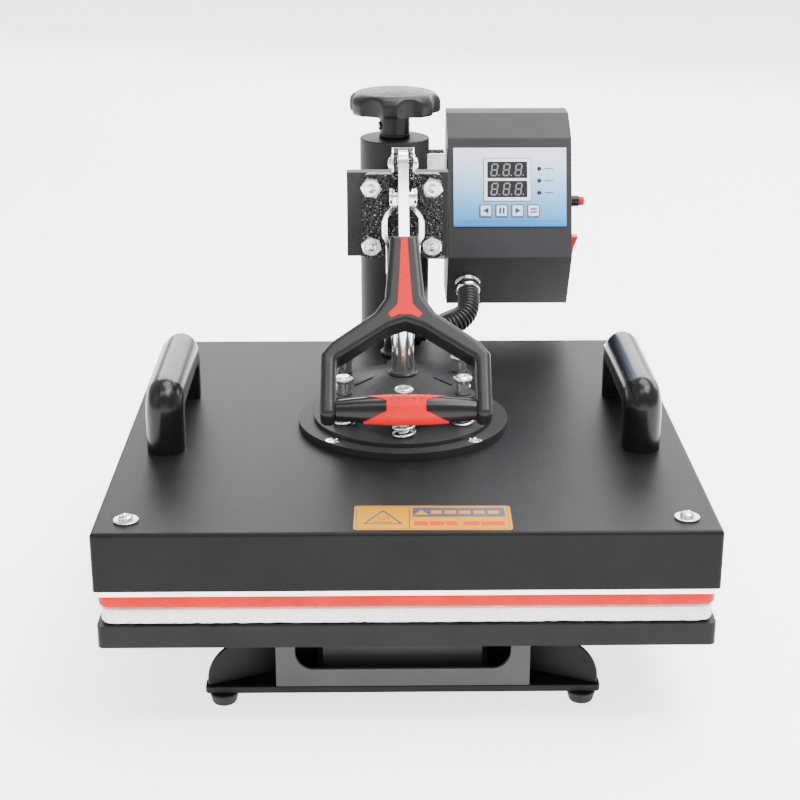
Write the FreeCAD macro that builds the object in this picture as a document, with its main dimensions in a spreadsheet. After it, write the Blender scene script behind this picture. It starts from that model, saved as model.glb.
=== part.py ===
import FreeCAD, Part
import math
import os

import Sketcher
from FreeCAD import Placement, Rotation, Vector

# Swing-away heat press with a square platen, a toggle-clamp handle and a control box.
# Frame: +Z up, the press stands on Z = 0, its front (handle side) faces -Y and the control
# box is on the +X side. X = 0 is the middle of the platen and Y = 0 the middle of the depth.
# All sizes are millimetres. The press is modelled closed, with the handle pulled down.

os.makedirs("parts", exist_ok=True)
doc = FreeCAD.newDocument("heat_press")

# ---------------------------------------------------------------- driving dimensions

SIZES = {
    # heights of the stack above the surface the press stands on
    "foot_height": 8, "base_top": 13, "tray_bottom": 59.5, "tray_top": 74.5,
    "felt_top": 87, "silicone_top": 95.5, "heater_bottom": 95.8, "heater_top": 110,
    "cover_bottom": 101, "cover_top": 140,
    # platen
    "platen_y": -45, "cover_side": 390, "sheet": 1.5, "cover_edge": 2.5, "heater_side": 384,
    "pad_width": 388, "pad_depth": 380, "pad_corner": 4,
    "tray_width": 390, "tray_depth": 380, "tray_wall": 3, "tray_corner": 4,
    # base
    "base_x": -2.2, "base_front": -202, "base_rear": 240, "base_half": 130, "waist_half": 62,
    "rear_half": 125,
    "panel_half": 83.4, "panel_sheet": 3, "cutout_half": 70.5, "cutout_bottom": 25.8,
    "cutout_corner": 12, "flange_depth": 12,
    "channel_half": 53, "channel_front": -185, "channel_rear": 95,
    "foot_radius": 9.8, "foot_tip": 7.8, "front_foot_x": 118, "front_foot_y": -197,
    "rear_foot_x": 112, "rear_foot_y": 226,
    # column and swing arm
    "column_x": -3.4, "column_y": 195, "post_radius": 22.5, "post_bore": 16.5,
    "post_top": 284, "sleeve_radius": 28.5, "running_fit": 0.05, "sleeve_bottom": 100,
    "sleeve_top": 301, "sleeve_cap": 12, "spindle_radius": 6,
    "arm_plate_thick": 8, "arm_plate_x": 22,
    "end_plate_left": -39.2, "end_plate_right": 32.2, "end_plate_front": -17,
    "end_plate_back": -7, "end_plate_bottom": 256, "end_plate_top": 316.4,
    # toggle clamp
    "pivot_z": 328, "pivot_radius": 4, "lower_pivot_drop": 23, "link_length": 52,
    "clamp_flange_half": 28.4, "clamp_flange_front": -23, "clamp_flange_bottom": 256,
    "clamp_flange_top": 316.4, "ear_inside": 3.9, "ear_outside": 7.2, "ear_radius": 11,
    "guide_radius": 11, "guide_bottom": 217, "guide_top": 243,
    "plunger_radius": 8, "bolt_pattern_x": 21.5, "bolt_pattern_z": 21,
    "bolt_middle_x": -0.6, "bolt_middle_z": 286.2,
    # handle
    "handle_lean": 44, "lever_thick": 7, "neck_top": 61.5, "neck_bottom": 117,
    "grip_reach": 187, "fork_half": 54.5, "fork_bar": 10, "fork_thick": 18,
    # spring unit on the platen
    "disc_radius": 75, "disc_top": 145, "small_disc_radius": 64, "small_disc_top": 148,
    "spring_circle": 48, "spring_top": 167, "spring_radius": 8.3, "spring_bore": 6.3,
    "spider_top": 170, "spider_crown": 177, "spider_sheet": 3, "spring_bolt_radius": 4.8,
    "spring_bolt_top": 183.5, "spring_bolt_head": 6.5,
    # side handles
    "side_handle_x": 164, "side_handle_front": -110, "side_handle_rear": 28,
    "side_handle_rise": 50, "side_handle_wide": 26, "side_handle_bar": 22,
    # knob
    "knob_radius": 37.5, "knob_bottom": 322, "knob_top": 341, "knob_lobes": 7,
    "hub_radius": 12.5, "knob_gap": 0.3,
    # control box
    "box_left": 39.6, "box_right": 140.5, "box_bottom": 164, "box_top": 318.5,
    "box_back": 231, "fold_low_y": 145, "fold_low_z": 211, "fold_top_y": 179,
    "fold_top_z": 303, "top_front_y": 207, "bottom_front_y": 175,
    # front panel of the control box, measured up the tilted face from its lower fold
    "overlay_half": 46, "overlay_low": 25.6, "overlay_high": 89.9, "overlay_thick": 0.8,
    "key_size": 10.2, "key_gap": 0.2, "key_pitch": 12.95, "key_up": 38.6, "key_travel": 0.8,
    "display_x": -2.1, "display_half": 18.6, "display_low": 47.2, "display_high": 80.4,
    # hose and mains lead
    "hose_radius": 9, "lead_radius": 3.5, "coil_x": -72, "coil_y": 300,
    "coil_outer": 47.5, "coil_inner": 33, "coil_height": 21,
}

sheet = doc.addObject("Spreadsheet::Sheet", "dims")
for row, (alias, size) in enumerate(SIZES.items(), start=1):
    sheet.set("A%d" % row, alias)
    sheet.set("B%d" % row, str(size))
    sheet.setAlias("B%d" % row, alias)
doc.recompute()


def mm(expression):
    """Value of a number or of an expression in the sheet's names."""
    return float(sheet.evalExpression(str(expression)))


# ---------------------------------------------------------------- helpers

NODES = []


def node(obj, name):
    """Name a finished sub-part after its file and keep it for export."""
    obj.Label = name
    NODES.append(obj)
    return obj


def bind(obj, **sizes):
    """Bind each size of an object to an expression in the sheet."""
    for prop, size in sizes.items():
        obj.setExpression(prop, str(size))
    return obj


def spot(obj, x=0, y=0, z=0, axis=None):
    """Place an object; axis is where its own +Z ends up."""
    if axis is not None:
        obj.Placement = Placement(Vector(), Rotation(Vector(0, 0, 1), Vector(*axis)))
    for letter, size in (("x", x), ("y", y), ("z", z)):
        obj.setExpression("Placement.Base." + letter, str(size))
    return obj


def box(name, x_range, y_range, z_range):
    """Box between pairs of expressions."""
    obj = doc.addObject("Part::Box", name)
    spans = ["(%s) - (%s)" % (high, low) for low, high in (x_range, y_range, z_range)]
    bind(obj, Length=spans[0], Width=spans[1], Height=spans[2])
    return spot(obj, x_range[0], y_range[0], z_range[0])


def rod(name, radius, height, x=0, y=0, z=0, axis=None):
    """Cylinder standing on a point, along axis."""
    obj = bind(doc.addObject("Part::Cylinder", name), Radius=radius, Height=height)
    return spot(obj, x, y, z, axis)


def cone(name, low, high, height, x=0, y=0, z=0, axis=None):
    """Cone frustum standing on a point, along axis."""
    obj = doc.addObject("Part::Cone", name)
    return spot(bind(obj, Radius1=low, Radius2=high, Height=height), x, y, z, axis)


def hexagon(name, across_flats, height, x=0, y=0, z=0, axis=None):
    """Hexagonal prism standing on a point, along axis."""
    obj = doc.addObject("Part::Prism", name)
    obj.Polygon = 6
    corner = "(%s) / 2 / cos(30 deg)" % across_flats
    return spot(bind(obj, Circumradius=corner, Height=height), x, y, z, axis)


def cut(name, base, *tools):
    """Base with every tool taken out of it."""
    tool = tools[0] if len(tools) == 1 else fuse(name + "_tools", *tools)
    obj = doc.addObject("Part::Cut", name)
    obj.Base = base
    obj.Tool = tool
    return obj


def fuse(name, *shapes):
    """All the shapes as one solid."""
    obj = doc.addObject("Part::MultiFuse", name)
    obj.Shapes = list(shapes)
    return obj


def group(name, *solids):
    """Separate solids that share one node."""
    obj = doc.addObject("Part::Compound", name)
    obj.Links = list(solids)
    return obj


def feature(name, shape, placement=None):
    """Part feature with a shape made by Part's own functions."""
    obj = doc.addObject("Part::Feature", name)
    obj.Shape = shape
    if placement is not None:
        obj.Placement = placement
    return obj


def new_body(name):
    return doc.addObject("PartDesign::Body", name)


def sketch_on(body, role, name, offset=0):
    """Sketch on one of the body's own origin planes, moved along the plane's normal."""
    sketch = body.newObject("Sketcher::SketchObject", name)
    planes = [item for item in body.Origin.OriginFeatures if item.Role == role]
    sketch.AttachmentSupport = (planes[0], [""])
    sketch.MapMode = "FlatFace"
    sketch.setExpression("AttachmentOffset.Base.z", str(offset))
    return sketch


def dimension(sketch, kind, geometry, point, size):
    """One dimensional constraint, bound to the sheet."""
    if point is None:
        index = sketch.addConstraint(Sketcher.Constraint(kind, geometry, mm(size)))
    else:
        index = sketch.addConstraint(Sketcher.Constraint(kind, geometry, point, mm(size)))
    sketch.setExpression("Constraints[%d]" % index, str(size))


def outline(sketch, corners):
    """Closed outline through corners given as pairs of expressions."""
    first = sketch.GeometryCount
    count = len(corners)
    points = [Vector(mm(x), mm(y), 0) for x, y in corners]
    for k in range(count):
        sketch.addGeometry(Part.LineSegment(points[k], points[(k + 1) % count]))
    for k in range(count):
        following = first + (k + 1) % count
        sketch.addConstraint(Sketcher.Constraint("Coincident", first + k, 2, following, 1))
    for k, (x, y) in enumerate(corners):
        dimension(sketch, "DistanceX", first + k, 1, x)
        dimension(sketch, "DistanceY", first + k, 1, y)


def rectangle(sketch, x_range, y_range):
    left, right = x_range
    low, high = y_range
    outline(sketch, [(left, low), (right, low), (right, high), (left, high)])


def circle(sketch, x, y, radius):
    centre = Vector(mm(x), mm(y), 0)
    index = sketch.addGeometry(Part.Circle(centre, Vector(0, 0, 1), mm(radius)))
    dimension(sketch, "Radius", index, None, radius)
    dimension(sketch, "DistanceX", index, 3, x)
    dimension(sketch, "DistanceY", index, 3, y)


def pad(body, sketch, length, name, back=False):
    obj = body.newObject("PartDesign::Pad", name)
    obj.Profile = sketch
    obj.Reversed = back
    return bind(obj, Length=length)


def pocket(body, sketch, length, name, forward=False):
    """Pocket; it cuts against the sketch's normal unless forward is set."""
    obj = body.newObject("PartDesign::Pocket", name)
    obj.Profile = sketch
    obj.Reversed = forward
    return bind(obj, Length=length)


def edges_where(shape, wanted):
    return ["Edge%d" % (k + 1) for k, edge in enumerate(shape.Edges) if wanted(edge)]


def faces_where(shape, wanted):
    return ["Face%d" % (k + 1) for k, face in enumerate(shape.Faces) if wanted(face)]


def is_upright(edge):
    """Straight edge along Z."""
    if edge.Curve.TypeId != "Part::GeomLine":
        return False
    return abs(edge.Curve.Direction.z) > 0.999


def round_edges(body, base, wanted, radius, name):
    """Fillet on the edges of a feature that pass a test."""
    doc.recompute()
    obj = body.newObject("PartDesign::Fillet", name)
    obj.Base = (base, edges_where(base.Shape, wanted))
    return bind(obj, Radius=radius)


def prism(corners, axis, start, thick):
    """Solid of a flat outline given in 3D, pushed along an axis; plain Part geometry."""
    points = [Vector(*corner) for corner in corners]
    face = Part.Face(Part.makePolygon(points + points[:1]))
    direction = Vector(*axis)
    face.translate(direction * start)
    return face.extrude(direction * thick)


def fillet_where(shape, wanted, radius):
    return shape.makeFillet(radius, [edge for edge in shape.Edges if wanted(edge)])


def tube_along(points, radius, name):
    """Round tube along straight runs joined by tangent arcs.

    Each arc's radius is 0.45 of the shorter run beside it over the tangent of half the turn.
    """
    corners = [Vector(*point) for point in points]
    edges = []
    radii = []
    start = corners[0]
    for before, corner, after in zip(corners, corners[1:], corners[2:]):
        run_in = (corner - before).normalize()
        run_out = (after - corner).normalize()
        half_turn = run_in.getAngle(run_out) / 2
        reach = 0.45 * min(corner.distanceToPoint(before), corner.distanceToPoint(after))
        radii.append(reach / math.tan(half_turn))
        enter = corner - run_in * reach
        leave = corner + run_out * reach
        inward = (run_out - run_in).normalize()
        sag = radii[-1] / math.cos(half_turn) - radii[-1]
        edges.append(Part.LineSegment(start, enter).toShape())
        edges.append(Part.Arc(enter, corner + inward * sag, leave).toShape())
        start = leave
    edges.append(Part.LineSegment(start, corners[-1]).toShape())
    path = Part.Wire(edges)
    first_run = corners[1] - corners[0]
    section = Part.Wire([Part.Circle(corners[0], first_run, radius).toShape()])
    solid = path.makePipeShell([section], True, False)
    expected = math.pi * radius ** 2 * path.Length
    print("%s: length %.1f, radii %s, volume ratio %.4f"
          % (name, path.Length, [round(r, 1) for r in radii], solid.Volume / expected))
    return solid


# ---------------------------------------------------------------- base

body = new_body("base_plate_body")
sketch = sketch_on(body, "XY_Plane", "base_plate_outline", "dims.foot_height")
half_plan = [
    ("dims.base_half", "dims.base_front"),
    ("dims.base_half", "dims.base_front + 12"),
    ("dims.waist_half", "dims.base_front + 46"),
    ("dims.waist_half", "dims.base_rear - 90"),
    ("dims.rear_half", "dims.base_rear - 48"),
    ("dims.rear_half", "dims.base_rear"),
]
mirror_plan = [("-" + x, y) for x, y in reversed(half_plan)]
outline(sketch, half_plan + mirror_plan)
plate = pad(body, sketch, "dims.base_top - dims.foot_height", "base_plate_pad")
round_edges(body, plate, is_upright, 3, "base_plate_corners")
spot(body, "dims.base_x")
node(body, "base_plate")

# The front panel is a folded sheet with a wide U cut-out and a flange down each side.
body = new_body("front_panel_body")
sketch = sketch_on(body, "XZ_Plane", "panel_outline", "-(dims.base_front + dims.panel_sheet)")
panel_top = "dims.tray_top - dims.tray_wall"
rectangle(sketch, ("-dims.panel_half", "dims.panel_half"), ("dims.base_top", panel_top))
panel = pad(body, sketch, "dims.panel_sheet", "panel_pad")
sketch = sketch_on(body, "XZ_Plane", "flange_outlines", "-(dims.base_front + dims.panel_sheet)")
for left, right in (("-dims.panel_half", "dims.panel_sheet - dims.panel_half"),
                    ("dims.panel_half - dims.panel_sheet", "dims.panel_half")):
    rectangle(sketch, (left, right), ("dims.base_top", panel_top))
pad(body, sketch, "dims.flange_depth", "flange_pad", back=True)
sketch = sketch_on(body, "XZ_Plane", "cutout_outline", "-dims.base_front")
rectangle(sketch, ("-dims.cutout_half", "dims.cutout_half"),
          ("dims.cutout_bottom", "dims.tray_top"))
cutout = pocket(body, sketch, "dims.panel_sheet", "cutout_pocket")


def is_cutout_corner(edge):
    middle = edge.CenterOfMass
    low = abs(middle.z - mm("dims.cutout_bottom")) < 0.01
    return low and abs(abs(middle.x) - mm("dims.cutout_half")) < 0.01


round_edges(body, cutout, is_cutout_corner, "dims.cutout_corner", "cutout_corners")
spot(body, "dims.base_x")
node(body, "front_support_panel")

# Each wing is an upright sheet from a front corner of the base back towards the channel.
wing_tip = Vector(mm("dims.base_half") - 2.5, mm("dims.base_front") + 2, mm("dims.base_top"))
wing_root = Vector(mm("dims.channel_half") + 4, mm("dims.base_front") + 33, wing_tip.z)
wing_run = wing_root - wing_tip
wing_length = wing_run.Length
wing_height = mm("dims.tray_bottom") - 1 - wing_tip.z
wing_curve = 23
wing_lip = 4
lip_point = Vector(0, wing_lip, 0)
bulge = Vector(wing_curve * 0.29, wing_lip + wing_curve * 0.71, 0)
shoulder = Vector(wing_curve, wing_lip + wing_curve, 0)
top_point = Vector(wing_length * 0.7, wing_height, 0)
wing_outline = Part.Wire([
    Part.Arc(lip_point, bulge, shoulder).toShape(),
    Part.LineSegment(shoulder, top_point).toShape(),
    Part.LineSegment(top_point, Vector(wing_length, wing_height, 0)).toShape(),
    Part.LineSegment(Vector(wing_length, wing_height, 0), Vector(wing_length, 0, 0)).toShape(),
    Part.LineSegment(Vector(wing_length, 0, 0), Vector(0, 0, 0)).toShape(),
    Part.LineSegment(Vector(0, 0, 0), lip_point).toShape(),
])
wing = Part.Face(wing_outline).extrude(Vector(0, 0, 3))
upright = Rotation(Vector(1, 0, 0), 90)
heading = Rotation(Vector(1, 0, 0), Vector(wing_run.x, wing_run.y, 0))
wing.Placement = Placement(wing_tip, heading.multiply(upright))
wings = Part.makeCompound([wing, wing.mirror(Vector(), Vector(1, 0, 0))])
base_shift = Placement(Vector(mm("dims.base_x"), 0, 0), Rotation())
node(feature("base_wings_feature", wings, base_shift), "base_wings")

channel_top = "dims.tray_top - dims.tray_wall"
channel_skin = box("channel_skin", ("-dims.channel_half", "dims.channel_half"),
                   ("dims.channel_front", "dims.channel_rear"), ("dims.base_top", channel_top))
channel_hollow = box("channel_hollow",
                     ("3 - dims.channel_half", "dims.channel_half - 3"),
                     ("dims.channel_front + 3", "dims.channel_rear + 5"),
                     ("dims.base_top - 1", channel_top + " - 3"))
bolt_grid = [(x, y) for x in (-38, 38) for y in (-150, 60)]
tray_bolt_places = [(mm("dims.base_x") + x, y) for x, y in bolt_grid]
channel_holes = [rod("channel_hole", 4, 20, x, y, "dims.tray_bottom") for x, y in bolt_grid]
channel = cut("channel_cut", channel_skin, channel_hollow, *channel_holes)
node(spot(channel, "dims.base_x"), "support_channel")

feet = []
for side in (-1, 1):
    for place in ("front", "rear"):
        x = "dims.base_x + %d * dims.%s_foot_x" % (side, place)
        feet.append(cone("foot", "dims.foot_tip", "dims.foot_radius", "dims.foot_height",
                         x, "dims.%s_foot_y" % place))
node(group("feet_group", *feet), "rubber_feet")

post_height = "dims.post_top - dims.base_top"
post = rod("post_skin", "dims.post_radius", post_height,
           "dims.column_x", "dims.column_y", "dims.base_top")
post_hole = rod("post_hole", "dims.post_bore", post_height + " + 2",
                "dims.column_x", "dims.column_y", "dims.base_top + 6")
node(cut("post_cut", post, post_hole), "column_post")

# A gusset on either side of the post and one in front hold it upright on the plate.
gusset_reach = 34
gusset_rise = 62
gusset_thick = 6
gussets = []
post_core = Part.makeCylinder(mm("dims.post_radius"), 300,
                              Vector(mm("dims.column_x"), mm("dims.column_y"), 0))
for angle in (0, 180, 270):
    profile = [(0, 0, 0), (gusset_reach, 0, 0), (gusset_reach, 0, 8), (6, 0, gusset_rise),
               (0, 0, gusset_rise)]
    plate = prism(profile, (0, 1, 0), -gusset_thick / 2, gusset_thick)
    plate.translate(Vector(mm("dims.post_radius") - 0.6, 0, 0))
    plate.rotate(Vector(), Vector(0, 0, 1), angle)
    plate.translate(Vector(mm("dims.column_x"), mm("dims.column_y"), mm("dims.base_top")))
    gussets.append(plate.cut(post_core))
node(feature("gussets_feature", Part.makeCompound(gussets)), "column_gussets")

# ---------------------------------------------------------------- tray and pads

body = new_body("tray_body")
sketch = sketch_on(body, "XY_Plane", "tray_outline", "dims.tray_bottom")
rectangle(sketch, ("-dims.tray_width / 2", "dims.tray_width / 2"),
          ("dims.platen_y - dims.tray_depth / 2", "dims.platen_y + dims.tray_depth / 2"))
tray = pad(body, sketch, "dims.tray_top - dims.tray_bottom", "tray_pad")
tray = round_edges(body, tray, is_upright, "dims.tray_corner", "tray_corners")
doc.recompute()


def is_tray_underside(face):
    return face.CenterOfMass.z < mm("dims.tray_bottom") + 0.1


hollow = body.newObject("PartDesign::Thickness", "tray_hollow")
hollow.Base = (tray, faces_where(tray.Shape, is_tray_underside))
hollow.Reversed = True
bind(hollow, Value="dims.tray_wall")
sketch = sketch_on(body, "XY_Plane", "tray_holes", "dims.tray_top")
for x, y in tray_bolt_places:
    circle(sketch, x, y, 4)
pocket(body, sketch, "dims.tray_wall", "tray_hole_pocket")
node(body, "lower_tray")

for name, low, high, shrink in (("felt_pad", "dims.tray_top", "dims.felt_top", 2),
                                ("silicone_pad", "dims.felt_top", "dims.silicone_top", 0)):
    body = new_body(name + "_body")
    sketch = sketch_on(body, "XY_Plane", name + "_outline", low)
    half_width = "(dims.pad_width - %d) / 2" % shrink
    half_depth = "(dims.pad_depth - %d) / 2" % shrink
    rectangle(sketch, ("-" + half_width, half_width),
              ("dims.platen_y - " + half_depth, "dims.platen_y + " + half_depth))
    slab = pad(body, sketch, "%s - %s" % (high, low), name + "_pad")
    round_edges(body, slab, is_upright, "dims.pad_corner", name + "_corners")
    node(body, name)

bolts = []
for x, y in tray_bolt_places:
    head = hexagon("tray_bolt_head", 13, 5.3, x, y, channel_top + " - 8.3")
    shank = rod("tray_bolt_shank", 4, 8.6, x, y, channel_top + " - 5.6")
    bolts.append(fuse("tray_bolt", head, shank))
node(group("tray_bolt_group", *bolts), "tray_bolts")

# ---------------------------------------------------------------- swing arm

COLUMN = ("dims.column_x", "dims.column_y")
sleeve_skin = rod("sleeve_skin", "dims.sleeve_radius", "dims.sleeve_top - dims.sleeve_bottom",
                  *COLUMN, "dims.sleeve_bottom")
sleeve_bore = rod("sleeve_bore", "dims.post_radius + dims.running_fit",
                  "dims.sleeve_top - dims.sleeve_cap - dims.sleeve_bottom + 1",
                  *COLUMN, "dims.sleeve_bottom - 1")
sleeve_thread = rod("sleeve_thread", "dims.spindle_radius + dims.running_fit",
                    "dims.sleeve_cap + 2", *COLUMN, "dims.sleeve_top - dims.sleeve_cap - 1")
node(cut("sleeve_cut", sleeve_skin, sleeve_bore, sleeve_thread), "swing_sleeve")

# The arm is a pair of tapered plates from the sleeve to the end plate.
arm_root_y = 180
arm_profile = [(0, mm("dims.end_plate_back"), 258), (0, mm("dims.end_plate_back"), 300),
               (0, arm_root_y, 270), (0, arm_root_y, 213)]
column_line = Vector(mm("dims.column_x"), mm("dims.column_y"), 0)
sleeve_core = Part.makeCylinder(mm("dims.sleeve_radius"), 400, column_line)
arm_plates = []
for side in (-1, 1):
    middle = mm("dims.column_x") + side * mm("dims.arm_plate_x")
    plate = prism(arm_profile, (1, 0, 0), middle - mm("dims.arm_plate_thick") / 2,
                  mm("dims.arm_plate_thick"))
    arm_plates.append(plate.cut(sleeve_core))
node(feature("arm_plates_feature", Part.makeCompound(arm_plates)), "arm_side_plates")

clamp_bolt_places = [("dims.bolt_middle_x + %d * dims.bolt_pattern_x" % i,
                      "dims.bolt_middle_z + %d * dims.bolt_pattern_z" % k)
                     for i in (-1, 1) for k in (-1, 1)]
end_plate = box("end_plate_slab", ("dims.end_plate_left", "dims.end_plate_right"),
                ("dims.end_plate_front", "dims.end_plate_back"),
                ("dims.end_plate_bottom", "dims.end_plate_top"))
end_holes = [rod("end_plate_hole", 4, 12, x, "dims.end_plate_front - 1", z, (0, 1, 0))
             for x, z in clamp_bolt_places]
node(cut("end_plate_cut", end_plate, *end_holes), "arm_end_plate")

# Toggle clamp body: flange, guide for the plunger, spine and two ears for the upper pivot.
PLATEN_Y = mm("dims.platen_y")
PIVOT_Z = mm("dims.pivot_z")
flange_front = mm("dims.clamp_flange_front")
end_front = mm("dims.end_plate_front")
flange = Part.makeBox(2 * mm("dims.clamp_flange_half"), end_front - flange_front,
                      mm("dims.clamp_flange_top") - mm("dims.clamp_flange_bottom"),
                      Vector(-mm("dims.clamp_flange_half"), flange_front,
                             mm("dims.clamp_flange_bottom")))


def is_flange_corner(edge):
    if edge.Curve.TypeId != "Part::GeomLine":
        return False
    return abs(edge.Curve.Direction.y) > 0.999


flange = fillet_where(flange, is_flange_corner, 5)
guide_low = mm("dims.guide_bottom")
guide_high = mm("dims.guide_top")
guide = Part.makeCylinder(mm("dims.guide_radius"), guide_high - guide_low,
                          Vector(0, PLATEN_Y, guide_low))
web = prism([(0, flange_front + 0.5, 277), (0, PLATEN_Y + 8, guide_high),
             (0, PLATEN_Y + 8, guide_low), (0, end_front - 1, 244), (0, end_front, 262)],
            (1, 0, 0), -6, 12)
spine_front = PLATEN_Y + 14
spine = Part.makeBox(2 * mm("dims.ear_outside"), end_front - spine_front, 72,
                     Vector(-mm("dims.ear_outside"), spine_front, 257))
ears = []
for side in (-1, 1):
    inside = mm("dims.ear_inside")
    thick = mm("dims.ear_outside") - inside
    start = inside if side > 0 else -inside - thick
    ear_round = Part.makeCylinder(mm("dims.ear_radius"), thick,
                                  Vector(start, PLATEN_Y, PIVOT_Z), Vector(1, 0, 0))
    ear_root = prism([(0, PLATEN_Y, PIVOT_Z + mm("dims.ear_radius")),
                      (0, spine_front + 4, PIVOT_Z + 4), (0, spine_front + 4, 298),
                      (0, PLATEN_Y + 7.5, PIVOT_Z - 8)], (1, 0, 0), start, thick)
    ears.append(ear_round.fuse(ear_root))
clamp = flange.multiFuse([guide, web, spine] + ears)
upper_hole = Part.makeCylinder(mm("dims.pivot_radius"), 40, Vector(-20, PLATEN_Y, PIVOT_Z),
                               Vector(1, 0, 0))
guide_hole = Part.makeCylinder(mm("dims.plunger_radius") + mm("dims.running_fit"), 60,
                               Vector(0, PLATEN_Y, guide_low - 10))
clamp = clamp.cut(Part.makeCompound([upper_hole, guide_hole]))
for x, z in clamp_bolt_places:
    clamp = clamp.cut(Part.makeCylinder(4, 20, Vector(mm(x), flange_front - 5, mm(z)),
                                        Vector(0, 1, 0)))
node(feature("toggle_body_feature", clamp.removeSplitter()), "toggle_body")

bolts = []
for x, z in clamp_bolt_places:
    head = hexagon("clamp_bolt_head", 13, 5.3, x, "dims.clamp_flange_front - 5.3", z, (0, 1, 0))
    shank = rod("clamp_bolt_shank", 4, 17, x, "dims.clamp_flange_front - 1", z, (0, 1, 0))
    bolts.append(fuse("clamp_bolt", head, shank))
node(group("clamp_bolt_group", *bolts), "clamp_bolts")

node(rod("upper_pin_rod", "dims.pivot_radius", 17.2, -8.6, "dims.platen_y", "dims.pivot_z",
         (1, 0, 0)), "upper_pivot_pin")

# Zinc-plated channel that carries the control box on the side of the sleeve.
bracket_skin = box("bracket_skin", (20, "dims.box_left"), (184, 206), (200, 289))
bracket_hollow = box("bracket_hollow", (19, "dims.box_left - 2.5"), (186.5, 203.5), (195, 295))
bracket_core = rod("bracket_core", "dims.sleeve_radius", 300, *COLUMN, 100)
node(cut("bracket_cut", bracket_skin, bracket_hollow, bracket_core), "box_bracket")

# ---------------------------------------------------------------- control box

body = new_body("box_shell_body")
sketch = sketch_on(body, "YZ_Plane", "box_side", "dims.box_left")
box_side = [("dims.fold_low_y", "dims.fold_low_z"), ("dims.bottom_front_y", "dims.box_bottom"),
            ("dims.box_back - dims.sheet", "dims.box_bottom"),
            ("dims.box_back - dims.sheet", "dims.box_top"),
            ("dims.top_front_y", "dims.box_top"), ("dims.fold_top_y", "dims.fold_top_z")]
outline(sketch, box_side)
shell = pad(body, sketch, "dims.box_right - dims.box_left", "box_pad")


def is_box_fold(edge):
    if edge.Curve.TypeId != "Part::GeomLine" or abs(edge.Curve.Direction.x) < 0.999:
        return False
    return edge.CenterOfMass.y < mm("dims.box_back") - 10


shell = round_edges(body, shell, is_box_fold, 2.5, "box_folds")
doc.recompute()


def is_box_rear(face):
    return face.CenterOfMass.y > mm("dims.box_back - dims.sheet") - 0.01


hollow = body.newObject("PartDesign::Thickness", "box_hollow")
hollow.Base = (shell, faces_where(shell.Shape, is_box_rear))
hollow.Reversed = True
bind(hollow, Value="dims.sheet")
doc.recompute()

PANEL_RISE = Vector(0, mm("dims.fold_top_y - dims.fold_low_y"),
                    mm("dims.fold_top_z - dims.fold_low_z"))
PANEL_TILT = math.degrees(math.atan2(PANEL_RISE.z, PANEL_RISE.y))
PANEL_MIDDLE = mm("(dims.box_left + dims.box_right) / 2")
PANEL = Placement(Vector(PANEL_MIDDLE, mm("dims.fold_low_y"), mm("dims.fold_low_z")),
                  Rotation(Vector(1, 0, 0), PANEL_TILT))


def on_panel(obj, across, up, out):
    """Place an object on the tilted panel: across it, up it from the fold, and out of it."""
    obj.Placement = PANEL.multiply(Placement(Vector(mm(across), mm(up), mm(out)), Rotation()))
    return obj


def panel_slab(name, x_range, up_range, out_range):
    """Box lying on the tilted panel."""
    obj = doc.addObject("Part::Box", name)
    spans = ["(%s) - (%s)" % (high, low) for low, high in (x_range, up_range, out_range)]
    bind(obj, Length=spans[0], Width=spans[1], Height=spans[2])
    return on_panel(obj, x_range[0], up_range[0], out_range[0])


window = panel_slab("box_window", ("4 - dims.overlay_half", "dims.overlay_half - 4"),
                    ("dims.overlay_low + 4", "dims.overlay_high - 4"), (-5, 5))

# The mains switch sits in the right-hand side wall.
SIDE_Y = 180
ROCKER_Z = 212.7
switch_window = box("switch_window", ("dims.box_right - 4", "dims.box_right + 4"),
                    (SIDE_Y - 5.6, SIDE_Y + 5.6), (ROCKER_Z - 9.6, ROCKER_Z + 9.6))
node(cut("box_shell_cut", body, window, switch_window), "box_shell")

node(box("box_back_slab", ("dims.box_left", "dims.box_right"),
         ("dims.box_back - dims.sheet", "dims.box_back"),
         ("dims.box_bottom", "dims.box_top")), "box_back_cover")

key_places = ["dims.display_x + 1.9 + %s * dims.key_pitch" % step
              for step in (-1.5, -0.5, 0.5, 1.5)]
half_key = "dims.key_size / 2"
overlay_slab = panel_slab("overlay_slab", ("-dims.overlay_half", "dims.overlay_half"),
                          ("dims.overlay_low", "dims.overlay_high"), (0, "dims.overlay_thick"))
display_hole = panel_slab("display_hole",
                          ("dims.display_x - dims.display_half",
                           "dims.display_x + dims.display_half"),
                          ("dims.display_low", "dims.display_high"), (-1, 3))
half_hole = "(%s + dims.key_gap)" % half_key
key_holes = [panel_slab("key_hole", ("%s - %s" % (x, half_hole), "%s + %s" % (x, half_hole)),
                        ("dims.key_up - %s" % half_hole, "dims.key_up + %s" % half_hole),
                        (-1, 3))
             for x in key_places]
node(cut("overlay_cut", overlay_slab, display_hole, *key_holes), "control_overlay")

display_half = "(dims.display_half - 0.1)"
node(panel_slab("display_slab",
                ("dims.display_x - " + display_half, "dims.display_x + " + display_half),
                ("dims.display_low + 0.1", "dims.display_high - 0.1"), (-4, 1.1)),
     "display_window")
node(panel_slab("board_slab", (-41, 41), (30, 86), (-12, -10.4)), "control_board")

for name, x in zip(("key_down", "key_mode", "key_up", "key_start"), key_places):
    key = panel_slab(name + "_slab", ("%s - %s" % (x, half_key), "%s + %s" % (x, half_key)),
                     ("dims.key_up - " + half_key, "dims.key_up + " + half_key), (-2, 1.7))
    node(key, name)

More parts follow.
